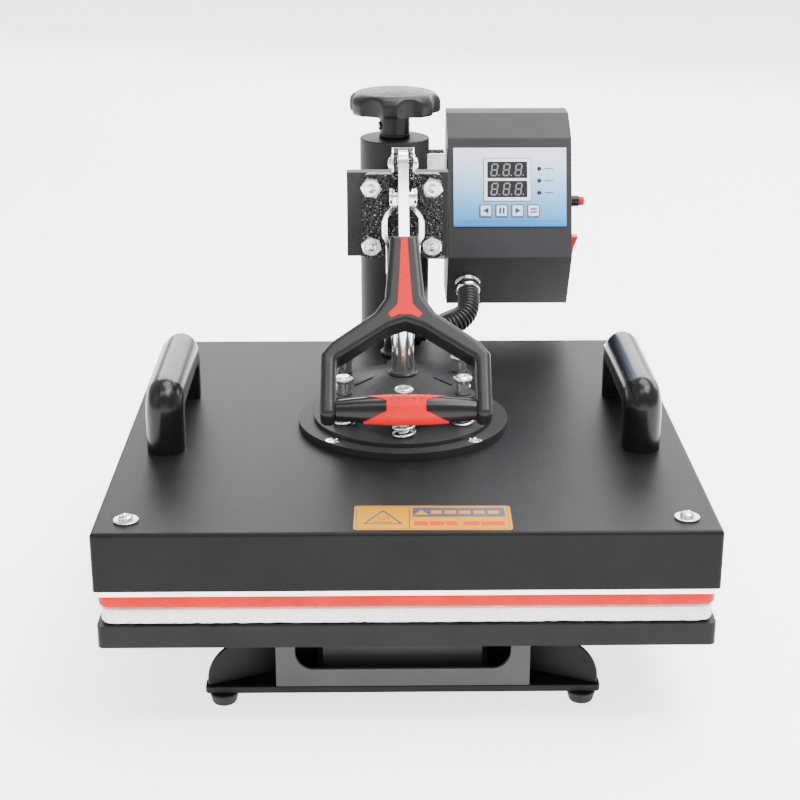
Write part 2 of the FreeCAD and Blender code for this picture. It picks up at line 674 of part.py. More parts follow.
# Fuse holder above the mains switch on the box's right-hand side.
FUSE_Z = 250.2
fuse_ring = rod("fuse_ring", 4.6, 7.8, "dims.box_right", SIDE_Y, FUSE_Z, (1, 0, 0))
fuse_cap = rod("fuse_cap", 3.4, 4, "dims.box_right + 7.8", SIDE_Y, FUSE_Z, (1, 0, 0))
node(fuse("fuse_fused", fuse_ring, fuse_cap), "fuse_holder")

bezel_skin = box("bezel_skin", ("dims.box_right", "dims.box_right + 2.2"),
                 (SIDE_Y - 7.5, SIDE_Y + 7.5), (ROCKER_Z - 11.5, ROCKER_Z + 11.5))
bezel_hole = box("bezel_hole", ("dims.box_right - 1", "dims.box_right + 4"),
                 (SIDE_Y - 5.6, SIDE_Y + 5.6), (ROCKER_Z - 9.6, ROCKER_Z + 9.6))
node(cut("bezel_cut", bezel_skin, bezel_hole), "switch_bezel")

# The rocker is a shallow V on its side, proud at the top and nearly flush at the bottom.
rocker_x = mm("dims.box_right") + 0.6
rocker_profile = [(rocker_x, 0, ROCKER_Z - 8.5), (rocker_x + 2.6, 0, ROCKER_Z - 8.5),
                  (rocker_x + 4.2, 0, ROCKER_Z), (rocker_x + 7.6, 0, ROCKER_Z + 8.5),
                  (rocker_x, 0, ROCKER_Z + 8.5)]
rocker = prism(rocker_profile, (0, 1, 0), SIDE_Y - 5.2, 10.4)
node(feature("rocker_feature", rocker), "rocker_switch")

screws = []
for x in ("dims.box_left + 9", "dims.box_right - 9"):
    for z in ("dims.box_bottom + 30", "dims.box_top - 10"):
        screws.append(rod("box_screw", 3.2, 1.8, x, "dims.box_back", z, (0, 1, 0)))
node(group("box_screw_group", *screws), "box_screws")

# ---------------------------------------------------------------- pressure knob

body = new_body("knob_body")
sketch = sketch_on(body, "XY_Plane", "hub_circle", "dims.sleeve_top + dims.knob_gap")
circle(sketch, 0, 0, "dims.hub_radius")
pad(body, sketch, "dims.knob_bottom - dims.sleeve_top - dims.knob_gap + 2", "hub_pad")
sketch = sketch_on(body, "XY_Plane", "knob_circle", "dims.knob_bottom")
circle(sketch, 0, 0, "dims.knob_radius")
disc = pad(body, sketch, "dims.knob_top - dims.knob_bottom", "knob_pad")


def is_knob_top(edge):
    return abs(edge.CenterOfMass.z - mm("dims.knob_top")) < 0.01


round_edges(body, disc, is_knob_top, 9, "knob_dome")
doc.recompute()
sketch = sketch_on(body, "XY_Plane", "valley_circle", "dims.knob_top + 1")
circle(sketch, 0, "dims.knob_radius + 11", 16)
valley = pocket(body, sketch, "dims.knob_top - dims.knob_bottom + 2", "valley_pocket")
doc.recompute()
valleys = body.newObject("PartDesign::PolarPattern", "valleys")
valleys.Originals = [valley]
valleys.Axis = ([item for item in body.Origin.OriginFeatures if item.Role == "Z_Axis"][0], [""])
valleys.Angle = 360
bind(valleys, Occurrences="dims.knob_lobes")
body.Tip = valleys
doc.recompute()
sketch = sketch_on(body, "XY_Plane", "spindle_circle", "dims.knob_bottom + 4")
circle(sketch, 0, 0, "dims.spindle_radius")
pocket(body, sketch, 60, "spindle_pocket")
lobe_turn = -6
body.Placement = Placement(Vector(), Rotation(Vector(0, 0, 1), lobe_turn))
spot(body, "dims.column_x", "dims.column_y", 0)
node(body, "pressure_knob")

node(rod("spindle_rod", "dims.spindle_radius", "dims.knob_bottom + 4 - 236",
         *COLUMN, 236), "knob_spindle")

# ---------------------------------------------------------------- toggle handle

# The handle's own frame: the origin is the upper pivot, +X is across, -Y runs down the
# handle to the grip and +Z is out of its front.
LEAN = mm("dims.handle_lean")
HANDLE = Placement(Vector(0, PLATEN_Y, PIVOT_Z), Rotation(Vector(1, 0, 0), LEAN))
drop = mm("dims.lower_pivot_drop")
LOWER_Y = -drop * math.sin(math.radians(LEAN))
LOWER_Z = -drop * math.cos(math.radians(LEAN))
lever_half = mm("dims.lever_thick") / 2


def across(radius, half, y, z):
    """Cylinder across the handle, centred on X = 0."""
    return Part.makeCylinder(radius, 2 * half, Vector(-half, y, z), Vector(1, 0, 0))


lever_end = 96
arm_low = -8
arm_high = 8
lever_bar = prism([(0, 0, arm_high), (0, 0, arm_low), (0, -lever_end, arm_low),
                   (0, -lever_end, arm_high)], (1, 0, 0), -lever_half, 2 * lever_half)
lever_web = prism([(0, 6, 4), (0, LOWER_Y + 5, LOWER_Z - 5), (0, LOWER_Y - 6, LOWER_Z - 4),
                   (0, -40, arm_low), (0, -20, 4)], (1, 0, 0), -lever_half, 2 * lever_half)
lever = across(9.5, lever_half, 0, 0).multiFuse([
    across(8, lever_half, LOWER_Y, LOWER_Z), lever_bar, lever_web])
pivot_bore = mm("dims.pivot_radius") + mm("dims.running_fit")
lever = lever.cut(across(pivot_bore, 10, 0, 0)).cut(across(3, 10, LOWER_Y, LOWER_Z))
node(feature("lever_feature", lever.removeSplitter(), HANDLE), "toggle_lever")

neck_top = -mm("dims.neck_top")
neck_low = -mm("dims.neck_bottom")
grip_y = -mm("dims.grip_reach")
outer = mm("dims.fork_half")
inner = outer - mm("dims.fork_bar")
shoulder_y = neck_low - 24
fork_end = grip_y - 8
half_outline = [(9.5, neck_top), (13, neck_low + 8), (20, neck_low - 3),
                (outer - 7, shoulder_y), (outer, shoulder_y - 9), (outer, fork_end),
                (inner, fork_end), (inner, shoulder_y - 13), (inner - 5, shoulder_y - 10),
                (11, neck_low - 14), (0, neck_low - 10)]
fork_points = [(x, y, 0) for x, y in half_outline]
fork_points += [(-x, y, 0) for x, y in reversed(half_outline[:-1])]
fork_half_thick = mm("dims.fork_thick") / 2
fork = prism(fork_points, (0, 0, 1), -fork_half_thick, 2 * fork_half_thick)


def is_fork_corner(edge):
    """Edges through the fork's thickness, apart from the two at its top."""
    if not is_upright(edge):
        return False
    return edge.CenterOfMass.y < neck_top - 1


def is_fork_rim(edge):
    """Edges round the fork's front and back faces."""
    return abs(abs(edge.CenterOfMass.z) - fork_half_thick) < 0.01


fork = fillet_where(fork, is_fork_corner, 4)
fork = fillet_where(fork, is_fork_rim, 4)
lever_slot = Part.makeBox(2 * lever_half + 0.2, lever_end + neck_top + 1.2, arm_high - arm_low + 0.2,
                          Vector(-lever_half - 0.1, -lever_end - 0.2, arm_low - 0.1))
fork = fork.cut(lever_slot)
inlay_points = [(2, neck_top - 2), (4.2, neck_low + 12), (5, neck_low + 2), (11, neck_low - 5),
                (9, neck_low - 8), (4, neck_low - 5.5)]
inlay_outline = [(x, y, 0) for x, y in inlay_points]
inlay_outline += [(-x, y, 0) for x, y in reversed(inlay_points)]
inlay_deep = 1.5
inlay = prism(inlay_outline, (0, 0, 1), fork_half_thick - inlay_deep, inlay_deep + 0.3)
fork = fork.cut(inlay)
inlay = inlay.cut(lever_slot)
node(feature("fork_feature", fork, HANDLE), "handle_fork")
node(feature("inlay_feature", inlay, HANDLE), "fork_inlay")

# The grip is a barrel between the fork's arms, thicker in the middle, with a red insert.
grip_end = 6.5
grip_middle = 9.5


def barrel(end_radius, middle_radius):
    """Barrel of revolution about X between the fork's arms."""
    arc = Part.Arc(Vector(-inner, end_radius, 0), Vector(0, middle_radius, 0),
                   Vector(inner, end_radius, 0)).toShape()
    sides = Part.makePolygon([Vector(inner, end_radius, 0), Vector(inner, 0, 0),
                              Vector(-inner, 0, 0), Vector(-inner, end_radius, 0)])
    profile = Part.Face(Part.Wire([arc] + sides.Edges))
    solid = profile.revolve(Vector(), Vector(1, 0, 0), 360)
    solid.translate(Vector(0, grip_y, 0))
    return solid


insert_half = 29
insert_block = Part.makeBox(2 * insert_half, 40, 20, Vector(-insert_half, grip_y - 20, 2))
insert = barrel(grip_end, grip_middle).common(insert_block)
insert = insert.cut(barrel(grip_end - 2, grip_middle - 2))
grip = barrel(grip_end, grip_middle).cut(insert)
node(feature("grip_feature", grip, HANDLE), "grip_bar")
node(feature("insert_feature", insert, HANDLE), "grip_insert")

LOWER_PIVOT = Vector(0, PLATEN_Y, PIVOT_Z - drop)
pin_core = Part.makeCylinder(3, 17.6, LOWER_PIVOT - Vector(8.8, 0, 0), Vector(1, 0, 0))
pin_heads = [Part.makeCylinder(6, 2.2, LOWER_PIVOT + Vector(x, 0, 0), Vector(1, 0, 0))
             for x in (7.3, -9.5)]
node(feature("lower_pin_feature", pin_core.multiFuse(pin_heads)), "lower_pivot_pin")

# Each link is a strip, bowed out round the plunger's head, with an eye at each end.
link_length = mm("dims.link_length")
strip = 3
eye = 6
centre_line = [(5.5, eye), (5.5, -7), (14.5, -18), (14.5, -33), (10, -41),
               (10, -link_length - eye)]
strip_path = [Vector(x, 0, z) for x, z in centre_line]


def ribbon(points, thick, wide):
    """Strip of constant thickness along a bent line in the XZ plane, wide along Y."""
    line = Part.makePolygon(points)
    edge_a = line.makeOffset2D(thick / 2, 2, False, True, False)
    edge_b = line.makeOffset2D(-thick / 2, 2, False, True, False)
    a = [v.Point for v in edge_a.OrderedVertexes]
    b = [v.Point for v in edge_b.OrderedVertexes]
    face = Part.Face(Part.makePolygon(a + b[::-1] + a[:1]))
    face.translate(Vector(0, -wide / 2, 0))
    return face.extrude(Vector(0, wide, 0))


stadium = Part.makeBox(40, 2 * eye, link_length, Vector(-20, -eye, -link_length))
for z in (0, -link_length):
    stadium = stadium.fuse(Part.makeCylinder(eye, 40, Vector(-20, 0, z), Vector(1, 0, 0)))
link = ribbon(strip_path, strip, 2 * eye).common(stadium)
link = link.cut(Part.makeCylinder(3.05, 40, Vector(-20, 0, 0), Vector(1, 0, 0)))
link.translate(LOWER_PIVOT)
links = Part.makeCompound([link, link.mirror(Vector(), Vector(1, 0, 0))])
node(feature("links_feature", links), "toggle_links")

# ---------------------------------------------------------------- spring unit and plunger

head_z = PIVOT_Z - drop - link_length
crown = mm("dims.spider_crown")
head_top = head_z + 7
plunger = Part.makeCylinder(mm("dims.plunger_radius"), head_top - crown,
                            Vector(0, PLATEN_Y, crown))
plunger = plunger.makeChamfer(1.5, [e for e in plunger.Edges
                                    if abs(e.CenterOfMass.z - head_top) < 0.01])
stud = Part.makeCylinder(5, 19, Vector(0, PLATEN_Y, crown - 19))
stud_nut = Part.makeCylinder(8, 7, Vector(0, PLATEN_Y, crown - mm("dims.spider_sheet") - 7))
plunger = plunger.multiFuse([stud, stud_nut])
node(feature("plunger_feature", plunger), "plunger")

# The spider is a six-lobed pressing, flat at the rim and domed in the middle.
rim_flat = 34
crown_flat = 13
rim_top = mm("dims.spider_top")
thick = mm("dims.spider_sheet")
dish = [Vector(0, 0, crown), Vector(crown_flat, 0, crown), Vector(rim_flat, 0, rim_top),
        Vector(70, 0, rim_top), Vector(70, 0, rim_top - thick),
        Vector(rim_flat - 1, 0, rim_top - thick), Vector(crown_flat, 0, crown - thick),
        Vector(0, 0, crown - thick)]
dish = Part.Face(Part.makePolygon(dish + dish[:1])).revolve(Vector(), Vector(0, 0, 1), 360)
spring_circle = mm("dims.spring_circle")
lobes = Part.makeCylinder(43, 30, Vector(0, 0, 155))
spring_angles = [-90 + 60 * k for k in range(6)]
for angle in spring_angles:
    toward = Vector(math.cos(math.radians(angle)), math.sin(math.radians(angle)), 0)
    lobes = lobes.fuse(Part.makeCylinder(11, 30, toward * (spring_circle - 2) + Vector(0, 0, 155)))
spider = dish.common(lobes)
bolt_radius = mm("dims.spring_bolt_radius")
for angle in spring_angles:
    toward = Vector(math.cos(math.radians(angle)), math.sin(math.radians(angle)), 0)
    hole = Part.makeCylinder(bolt_radius + 0.5, 30, toward * spring_circle + Vector(0, 0, 155))
    spider = spider.cut(hole)
spider = spider.cut(Part.makeCylinder(5, 40, Vector(0, 0, 150)))
for side in (-1, 1):
    slot = Part.makeBox(14, 3, 40, Vector(-7, -1.5, 150))
    slot.rotate(Vector(), Vector(0, 0, 1), side * -20)
    slot.translate(Vector(side * 28, -3, 0))
    spider = spider.cut(slot)
spider.translate(Vector(0, PLATEN_Y, 0))
node(feature("spider_feature", spider.removeSplitter()), "spider_plate")

springs = []
spring_bolts = []
bolt_holes = []
for k, angle in enumerate(spring_angles):
    x = "dims.spring_circle * cos(%d deg)" % angle
    y = "dims.platen_y + dims.spring_circle * sin(%d deg)" % angle
    coil = rod("spring_skin", "dims.spring_radius", "dims.spring_top - dims.small_disc_top",
               x, y, "dims.small_disc_top")
    bore = rod("spring_bore", "dims.spring_bore", 40, x, y, "dims.small_disc_top - 5")
    springs.append(cut("spring", coil, bore))
    shank = rod("spring_bolt_shank", "dims.spring_bolt_radius",
                "dims.spring_bolt_top - 4 - dims.cover_top", x, y, "dims.cover_top")
    head = rod("spring_bolt_head", "dims.spring_bolt_head", 4, x, y, "dims.spring_bolt_top - 4")
    spring_bolts.append(fuse("spring_bolt", shank, head))
    bolt_holes.append((x, y))
node(group("spring_group", *springs), "pressure_springs")
node(group("spring_bolt_group", *spring_bolts), "spring_bolts")


def disc(name, radius, low, high, *extra):
    """Round plate with holes for the six spring bolts."""
    slab = rod(name + "_slab", radius, "%s - %s" % (high, low), 0, "dims.platen_y", low)
    holes = [rod(name + "_hole", "dims.spring_bolt_radius", 20, x, y, low + " - 5")
             for x, y in bolt_holes]
    return node(cut(name + "_cut", slab, *holes, *extra), name)


csk_places = [("69 * cos(%d deg)" % angle, "dims.platen_y + 69 * sin(%d deg)" % angle)
              for angle in (45, 135, 225, 315)]
csk_holes = []
csk_screws = []
for x, y in csk_places:
    csk_holes.append(cone("csk_hole", 3, 5.5, 2.6, x, y, "dims.disc_top - 2.6"))
    csk_holes.append(rod("csk_bore", 3, 20, x, y, "dims.disc_top - 15"))
    head = cone("csk_head", 3, 5.5, 2.6, x, y, "dims.disc_top - 2.6")
    shank = rod("csk_shank", 3, 12, x, y, "dims.disc_top - 14.6")
    csk_screws.append(fuse("csk_screw", head, shank))
disc("small_disc", "dims.small_disc_radius", "dims.disc_top", "dims.small_disc_top")
disc("outer_disc", "dims.disc_radius", "dims.cover_top", "dims.disc_top", *csk_holes)
node(group("csk_screw_group", *csk_screws), "disc_screws")

# ---------------------------------------------------------------- heated platen

cover_half = "dims.cover_side / 2"
body = new_body("cover_body")
sketch = sketch_on(body, "XY_Plane", "cover_outline", "dims.cover_bottom")
rectangle(sketch, ("-" + cover_half, cover_half),
          ("dims.platen_y - " + cover_half, "dims.platen_y + " + cover_half))
cover = pad(body, sketch, "dims.cover_top - dims.cover_bottom", "cover_pad")


def is_cover_edge(edge):
    return edge.CenterOfMass.z > mm("dims.cover_bottom") + 1


cover = round_edges(body, cover, is_cover_edge, "dims.cover_edge", "cover_edges")
doc.recompute()
cover_under = faces_where(cover.Shape,
                          lambda face: face.CenterOfMass.z < mm("dims.cover_bottom") + 0.1)
hollow = body.newObject("PartDesign::Thickness", "cover_hollow")
hollow.Base = (cover, cover_under)
hollow.Reversed = True
bind(hollow, Value="dims.sheet")
corner_places = [("%d * 175" % i, "dims.platen_y + %d * 174" % k)
                 for i in (-1, 1) for k in (-1, 1)]
sketch = sketch_on(body, "XY_Plane", "cover_holes", "dims.cover_top + 1")
for x, y in corner_places:
    circle(sketch, x, y, 2.5)
for x, y in csk_places:
    circle(sketch, x, y, 3)
pocket(body, sketch, 5, "cover_hole_pocket")
node(body, "platen_cover")

heater_half = "dims.heater_side / 2"
heater_slab = box("heater_slab", ("-" + heater_half, heater_half),
                  ("dims.platen_y - " + heater_half, "dims.platen_y + " + heater_half),
                  ("dims.heater_bottom", "dims.heater_top"))
node(heater_slab, "heating_plate")
blanket_slab = box("blanket_slab", ("3 - " + heater_half, heater_half + " - 3"),
                   ("dims.platen_y + 3 - " + heater_half, "dims.platen_y - 3 + " + heater_half),
                   ("dims.heater_top", "dims.cover_top - dims.sheet"))
blanket_holes = [rod("blanket_hole", 2.5, 60, x, y, "dims.heater_top - 5")
                 for x, y in corner_places]
blanket_holes += [rod("blanket_bore", 3, 60, x, y, "dims.heater_top - 5")
                  for x, y in csk_places]
node(cut("blanket_cut", blanket_slab, *blanket_holes), "insulation_blanket")

screws = []
for x, y in corner_places:
    washer = rod("corner_washer", 8, 1.2, x, y, "dims.cover_top")
    head = rod("corner_head", 4.6, 3.2, x, y, "dims.cover_top + 1.2")
    shank = rod("corner_shank", 2.5, 26, x, y, "dims.cover_top - 25")
    screws.append(fuse("corner_screw", washer, head, shank))
node(group("corner_screw_group", *screws), "cover_screws")

label_slab = box("label_slab", (-34, 66), (-237, -197), ("dims.cover_top", "dims.cover_top + 0.3"))
node(label_slab, "platen_label")

# Each side handle is a rounded bar bent into a flat-topped arch.
arch_front = mm("dims.side_handle_front")
arch_rear = mm("dims.side_handle_rear")
arch_bar = mm("dims.side_handle_bar")
arch_low = mm("dims.cover_top")
arch_high = arch_low + mm("dims.side_handle_rise")
arch_wide = mm("dims.side_handle_wide")
arch_block = Part.makeBox(arch_wide, arch_rear - arch_front, arch_high - arch_low,
                          Vector(-arch_wide / 2, arch_front, arch_low))
arch_block = fillet_where(
    arch_block, lambda e: abs(e.CenterOfMass.z - arch_high) < 0.1 and abs(e.CenterOfMass.x) < 0.1, 19)
arch_gap = Part.makeBox(arch_wide, arch_rear - arch_front - 2 * arch_bar,
                        arch_high - arch_low - arch_bar + 10,
                        Vector(-arch_wide / 2, arch_front + arch_bar, arch_low - 10))
arch_gap = fillet_where(
    arch_gap, lambda e: abs(e.CenterOfMass.z - arch_high + arch_bar) < 0.1
    and abs(e.CenterOfMass.x) < 0.1, 8)
arch = arch_block.cut(arch_gap)


def is_arch_edge(edge):
    """Edges of the bar's two flat sides."""
    box_of_edge = edge.BoundBox
    return box_of_edge.XLength < 0.01 and edge.CenterOfMass.z > arch_low + 0.5


arch = fillet_where(arch, is_arch_edge, 7)
arches = []
for side in (-1, 1):
    copy = arch.copy()
    copy.translate(Vector(side * mm("dims.side_handle_x"), 0, 0))
    arches.append(copy)
node(feature("side_handles_feature", Part.makeCompound(arches)), "side_handles")

# ---------------------------------------------------------------- hose and mains lead

# Hose from the control box to the elbow on the platen cover.
hose_radius = mm("dims.hose_radius")
HOSE_ROUTE = [(56.5, 150, 181.5), (57, 135.7, 172.4), (51.3, 125.9, 166.1),
              (41.1, 119.2, 161.8), (28.3, 116.9, 160.3), (14, 115, 158.5)]
node(feature("hose_feature", tube_along(HOSE_ROUTE, hose_radius, "conduit_hose")),
     "conduit_hose")

hose_start = Vector(*HOSE_ROUTE[0])
hose_heading = (Vector(*HOSE_ROUTE[1]) - hose_start).normalize()
gland_length = 19
gland = Part.makeCylinder(10.5, gland_length, hose_start - hose_heading * gland_length, hose_heading)
box_solid = Part.Face(Part.makePolygon(
    [Vector(mm("dims.box_left"), mm(y), mm(z)) for y, z in box_side + box_side[:1]])).extrude(
        Vector(mm("dims.box_right - dims.box_left"), 0, 0))
node(feature("gland_feature", gland.cut(box_solid)), "hose_gland")

hose_end = Vector(*HOSE_ROUTE[-1])
end_heading = (hose_end - Vector(*HOSE_ROUTE[-2])).normalize()
elbow_x = -3
elbow_y = hose_end.y + (elbow_x - hose_end.x) * end_heading.y / end_heading.x
elbow_z = hose_end.z + (elbow_x - hose_end.x) * end_heading.z / end_heading.x
elbow_middle = Vector(elbow_x, elbow_y, elbow_z)
cover_top = mm("dims.cover_top")
elbow = Part.makeCylinder(13, 6, Vector(elbow_x, elbow_y, cover_top)).multiFuse([
    Part.makeCylinder(10, elbow_z - cover_top, Vector(elbow_x, elbow_y, cover_top)),
    Part.makeSphere(10, elbow_middle),
    Part.makeCylinder(10, (hose_end - elbow_middle).Length, elbow_middle, -end_heading),
    Part.makeCylinder(11.5, 8, hose_end + end_heading * 8, -end_heading)])
node(feature("elbow_feature", elbow), "hose_elbow")

# Mains lead: out of the back of the control box, down behind the column to a wound coil.
LEAD_ROUTE = [(125, 261, 176), (125, 282, 175), (121, 303, 166), (109, 316, 148),
              (88, 318, 131), (60, 309, 120), (34, 295, 113), (10, 280, 101),
              (-4, 267, 80), (-8, 259, 52), (-18, 256.5, 27), (-40, 256.5, 8.5),
              (-72, 256.5, 3.6)]
lead_radius = mm("dims.lead_radius")
node(feature("lead_feature", tube_along(LEAD_ROUTE, lead_radius, "mains_lead")), "mains_lead")
lead_exit = LEAD_ROUTE[0]
relief_end = lead_exit[1] - 0.5
node(cone("relief_cone", 6.5, 4.2, "%s - dims.box_back" % relief_end, lead_exit[0],
          "dims.box_back", lead_exit[2], (0, 1, 0)), "strain_relief")

coil_skin = rod("coil_skin", "dims.coil_outer", "dims.coil_height", "dims.coil_x", "dims.coil_y")
coil_hole = rod("coil_hole", "dims.coil_inner", 40, "dims.coil_x", "dims.coil_y", -5)
node(cut("coil_cut", coil_skin, coil_hole), "cord_coil")

# Three-pin plug lying beside the coil, with its short sleeve towards the coil.
plug_y = mm("dims.coil_y") + 43.5
plug_x = mm("dims.coil_x") + 19
plug_z = 12.5
plug_sleeve = Part.makeCone(4.2, 6.5, 18, Vector(plug_x, plug_y, plug_z), Vector(1, 0, 0))
plug_block = Part.makeBox(30, 25, 24, Vector(plug_x + 18, plug_y - 12.5, 0.5))
plug_block = fillet_where(plug_block, lambda e: True, 3)
blades = [Part.makeBox(17, 1.5, 6.3, Vector(plug_x + 47, plug_y + side * 6.35 - 0.75, plug_z + 1))
          for side in (-1, 1)]
earth_pin = Part.makeCylinder(2.4, 20, Vector(plug_x + 47, plug_y, plug_z - 7), Vector(1, 0, 0))
plug = plug_sleeve.multiFuse([plug_block, earth_pin] + blades)
node(feature("plug_feature", plug.removeSplitter()), "mains_plug")

# ---------------------------------------------------------------- checks and export

doc.recompute()
for obj in doc.Objects:
    if "Invalid" in obj.State or "Error" in obj.State:
        raise RuntimeError("%s is %s" % (obj.Label, obj.State))
for obj in NODES:
    if obj.Shape.isNull() or not obj.Shape.isValid():
        raise RuntimeError("%s has no valid shape" % obj.Label)

for obj in NODES:
    extent = obj.Shape.BoundBox
    print("%-20s solids %d volume %10.0f x %.1f %.1f y %.1f %.1f z %.1f %.1f" % (
        obj.Label, len(obj.Shape.Solids), obj.Shape.Volume, extent.XMin, extent.XMax,
        extent.YMin, extent.YMax, extent.ZMin, extent.ZMax))
    obj.Shape.exportStep(os.path.join("parts", obj.Label + ".step"))
print(len(NODES), "sub-parts")
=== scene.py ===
from math import cos, degrees, pi, radians, remainder, sin, sqrt, tau

import bmesh
import bpy
from mathutils import Matrix, Vector, noise


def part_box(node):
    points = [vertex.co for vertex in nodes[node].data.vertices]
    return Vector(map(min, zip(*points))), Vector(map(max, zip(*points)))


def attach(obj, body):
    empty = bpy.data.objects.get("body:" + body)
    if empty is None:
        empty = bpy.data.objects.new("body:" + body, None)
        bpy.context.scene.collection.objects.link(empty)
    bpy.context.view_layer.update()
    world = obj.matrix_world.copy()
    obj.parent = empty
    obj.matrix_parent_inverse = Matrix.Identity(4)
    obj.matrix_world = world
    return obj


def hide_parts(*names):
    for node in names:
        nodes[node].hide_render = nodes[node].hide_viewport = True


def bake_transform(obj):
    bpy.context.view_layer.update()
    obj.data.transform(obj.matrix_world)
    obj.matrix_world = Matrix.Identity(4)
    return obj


# The looks of a swing-away heat press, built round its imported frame. Metres, +Z up, front at -Y.
# Shapes that are handed a matrix from placed() or axis_frame() are drawn in millimetres.

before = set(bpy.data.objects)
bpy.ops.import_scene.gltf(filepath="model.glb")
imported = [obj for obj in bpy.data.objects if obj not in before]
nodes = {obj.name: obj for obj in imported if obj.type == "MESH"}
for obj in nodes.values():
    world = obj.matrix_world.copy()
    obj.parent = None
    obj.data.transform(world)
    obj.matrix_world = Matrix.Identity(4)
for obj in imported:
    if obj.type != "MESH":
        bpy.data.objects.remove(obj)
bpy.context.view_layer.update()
MM = 0.001
SCALE = Matrix.Scale(MM, 4)
# The platen's middle and the clamp's pivots lie at this Y, the first at X = 0 and the pivots across it.
PLATEN_Y = -0.045
UPPER_PIVOT = Vector((0, PLATEN_Y, 0.328))


# ---- camera and light

def added(name, data):
    """A new object in the scene."""
    obj = bpy.data.objects.new(name, data)
    bpy.context.scene.collection.objects.link(obj)
    return obj


camera = added("camera", bpy.data.cameras.new("camera"))
camera.location = (-0.0170, -1.1815, 0.5631)
camera.rotation_euler = (radians(70.33), 0, radians(-0.75))
camera.data.sensor_width = 36
camera.data.lens = 75.7
camera.data.clip_end = 60
bpy.context.scene.camera = camera


def area_light(name, place, target, size, power, tint=(1, 1, 1)):
    lamp = bpy.data.lights.new(name, "AREA")
    lamp.shape = "RECTANGLE"
    lamp.size, lamp.size_y = size
    lamp.energy = power
    lamp.color = tint
    obj = added(name, lamp)
    obj.location = place
    obj.rotation_euler = (Vector(target) - Vector(place)).to_track_quat("-Z", "Y").to_euler()


area_light("key_light", (0.9, -0.5, 2.0), (0.1, -0.1, 0.15), (1.1, 0.9), 34)
area_light("fill_light", (-1.7, -0.9, 1.1), (0, 0, 0.15), (1.0, 1.3), 5, (0.94, 0.97, 1))
area_light("low_light", (0.1, -1.9, 0.30), (0, 0, 0.08), (1.6, 0.5), 5)
area_light("top_light", (0.5, 0.4, 1.9), (0, 0, 0.1), (1.8, 1.2), 66)
area_light("edge_light", (0.1, -0.85, 2.0), (0, -0.2, 0.1), (2.0, 0.6), 24)
area_light("rear_light", (0.8, 2.3, 1.1), (0, 0, 0.2), (4.4, 1.1), 92)

world = bpy.data.worlds.new("studio")
world.use_nodes = True
world.node_tree.nodes["Background"].inputs["Color"].default_value = (0.97, 0.98, 1, 1)
world.node_tree.nodes["Background"].inputs["Strength"].default_value = 1.0
bpy.context.scene.world = world


# ---- materials

class Surface:
    """A Principled material built up from procedural layers in object space."""

    def __init__(self, name, metallic=0.0, **sockets):
        self.material = bpy.data.materials.new(name)
        self.material.use_nodes = True
        self.tree = self.material.node_tree
        self.shader = self.tree.nodes["Principled BSDF"]
        self.shader.inputs["Metallic"].default_value = metallic
        for socket, value in sockets.items():
            self.shader.inputs[socket.replace("_", " ")].default_value = value
        self.place = self.node("TexCoord").outputs["Object"]
        self.last_bump = None

    def join(self, output, socket):
        self.tree.links.new(output, socket)

    def node(self, kind, **inputs):
        made = self.tree.nodes.new("ShaderNode" + kind)
        for socket, value in inputs.items():
            made.inputs[socket.replace("_", " ")].default_value = value
        return made

    def stretched(self, scales):
        mapping = self.node("Mapping", Scale=scales)
        self.join(self.place, mapping.inputs["Vector"])
        return mapping.outputs["Vector"]

    def noise(self, scale, detail=3.0, stretch=None):
        texture = self.node("TexNoise", Scale=scale, Detail=detail)
        self.join(self.stretched(stretch) if stretch else self.place, texture.inputs["Vector"])
        return texture.outputs["Fac"]

    def cells(self, scale, feature="F1"):
        texture = self.node("TexVoronoi", Scale=scale)
        texture.feature = feature
        self.join(self.place, texture.inputs["Vector"])
        return texture.outputs["Distance"]

    def along(self, direction, start, end):
        """0 to 1 between two distances along a direction."""
        dot = self.node("VectorMath")
        dot.operation = "DOT_PRODUCT"
        dot.inputs[1].default_value = direction
        self.join(self.place, dot.inputs[0])
        return self.ranged(dot.outputs["Value"], 0, 1, start, end)

    def ranged(self, value, low, high, start=0.3, end=0.7):
        node = self.node("MapRange", From_Min=start, From_Max=end, To_Min=low, To_Max=high)
        self.join(value, node.inputs["Value"])
        return node.outputs["Result"]

    def colours(self, factor, *stops):
        """Base colour from a ramp of (position, (r, g, b)) stops."""
        ramp = self.node("ValToRGB")
        elements = ramp.color_ramp.elements
        while len(elements) < len(stops):
            elements.new(1.0)
        for element, (position, colour) in zip(elements, stops):
            element.position = position
            element.color = (*colour, 1)
        self.join(factor, ramp.inputs["Fac"])
        self.join(ramp.outputs["Color"], self.shader.inputs["Base Color"])
        return self

    def rough(self, factor, low, high, start=0.3, end=0.7):
        self.join(self.ranged(factor, low, high, start, end), self.shader.inputs["Roughness"])
        return self

    def bump(self, height, distance, strength=1.0):
        node = self.node("Bump", Distance=distance, Strength=strength)
        self.join(height, node.inputs["Height"])
        if self.last_bump:
            self.join(self.last_bump, node.inputs["Normal"])
        self.last_bump = node.outputs["Normal"]
        self.join(self.last_bump, self.shader.inputs["Normal"])
        return self


def grey(level):
    return (level, level, level * 1.03)


def coated(name, dark, light, rough, grain, depth, shine=0.16):
    """Powder coat: fine orange peel, faint cloudiness and tiny pits."""
    s = Surface(name, Specular_IOR_Level=shine)
    s.colours(s.noise(26, 4), (0.3, grey(dark)), (0.7, grey(light)))
    s.rough(s.noise(900, 2), *rough)
    return s.bump(s.noise(grain, 2), depth).bump(s.cells(grain * 0.45), depth * 0.5, 0.5).material


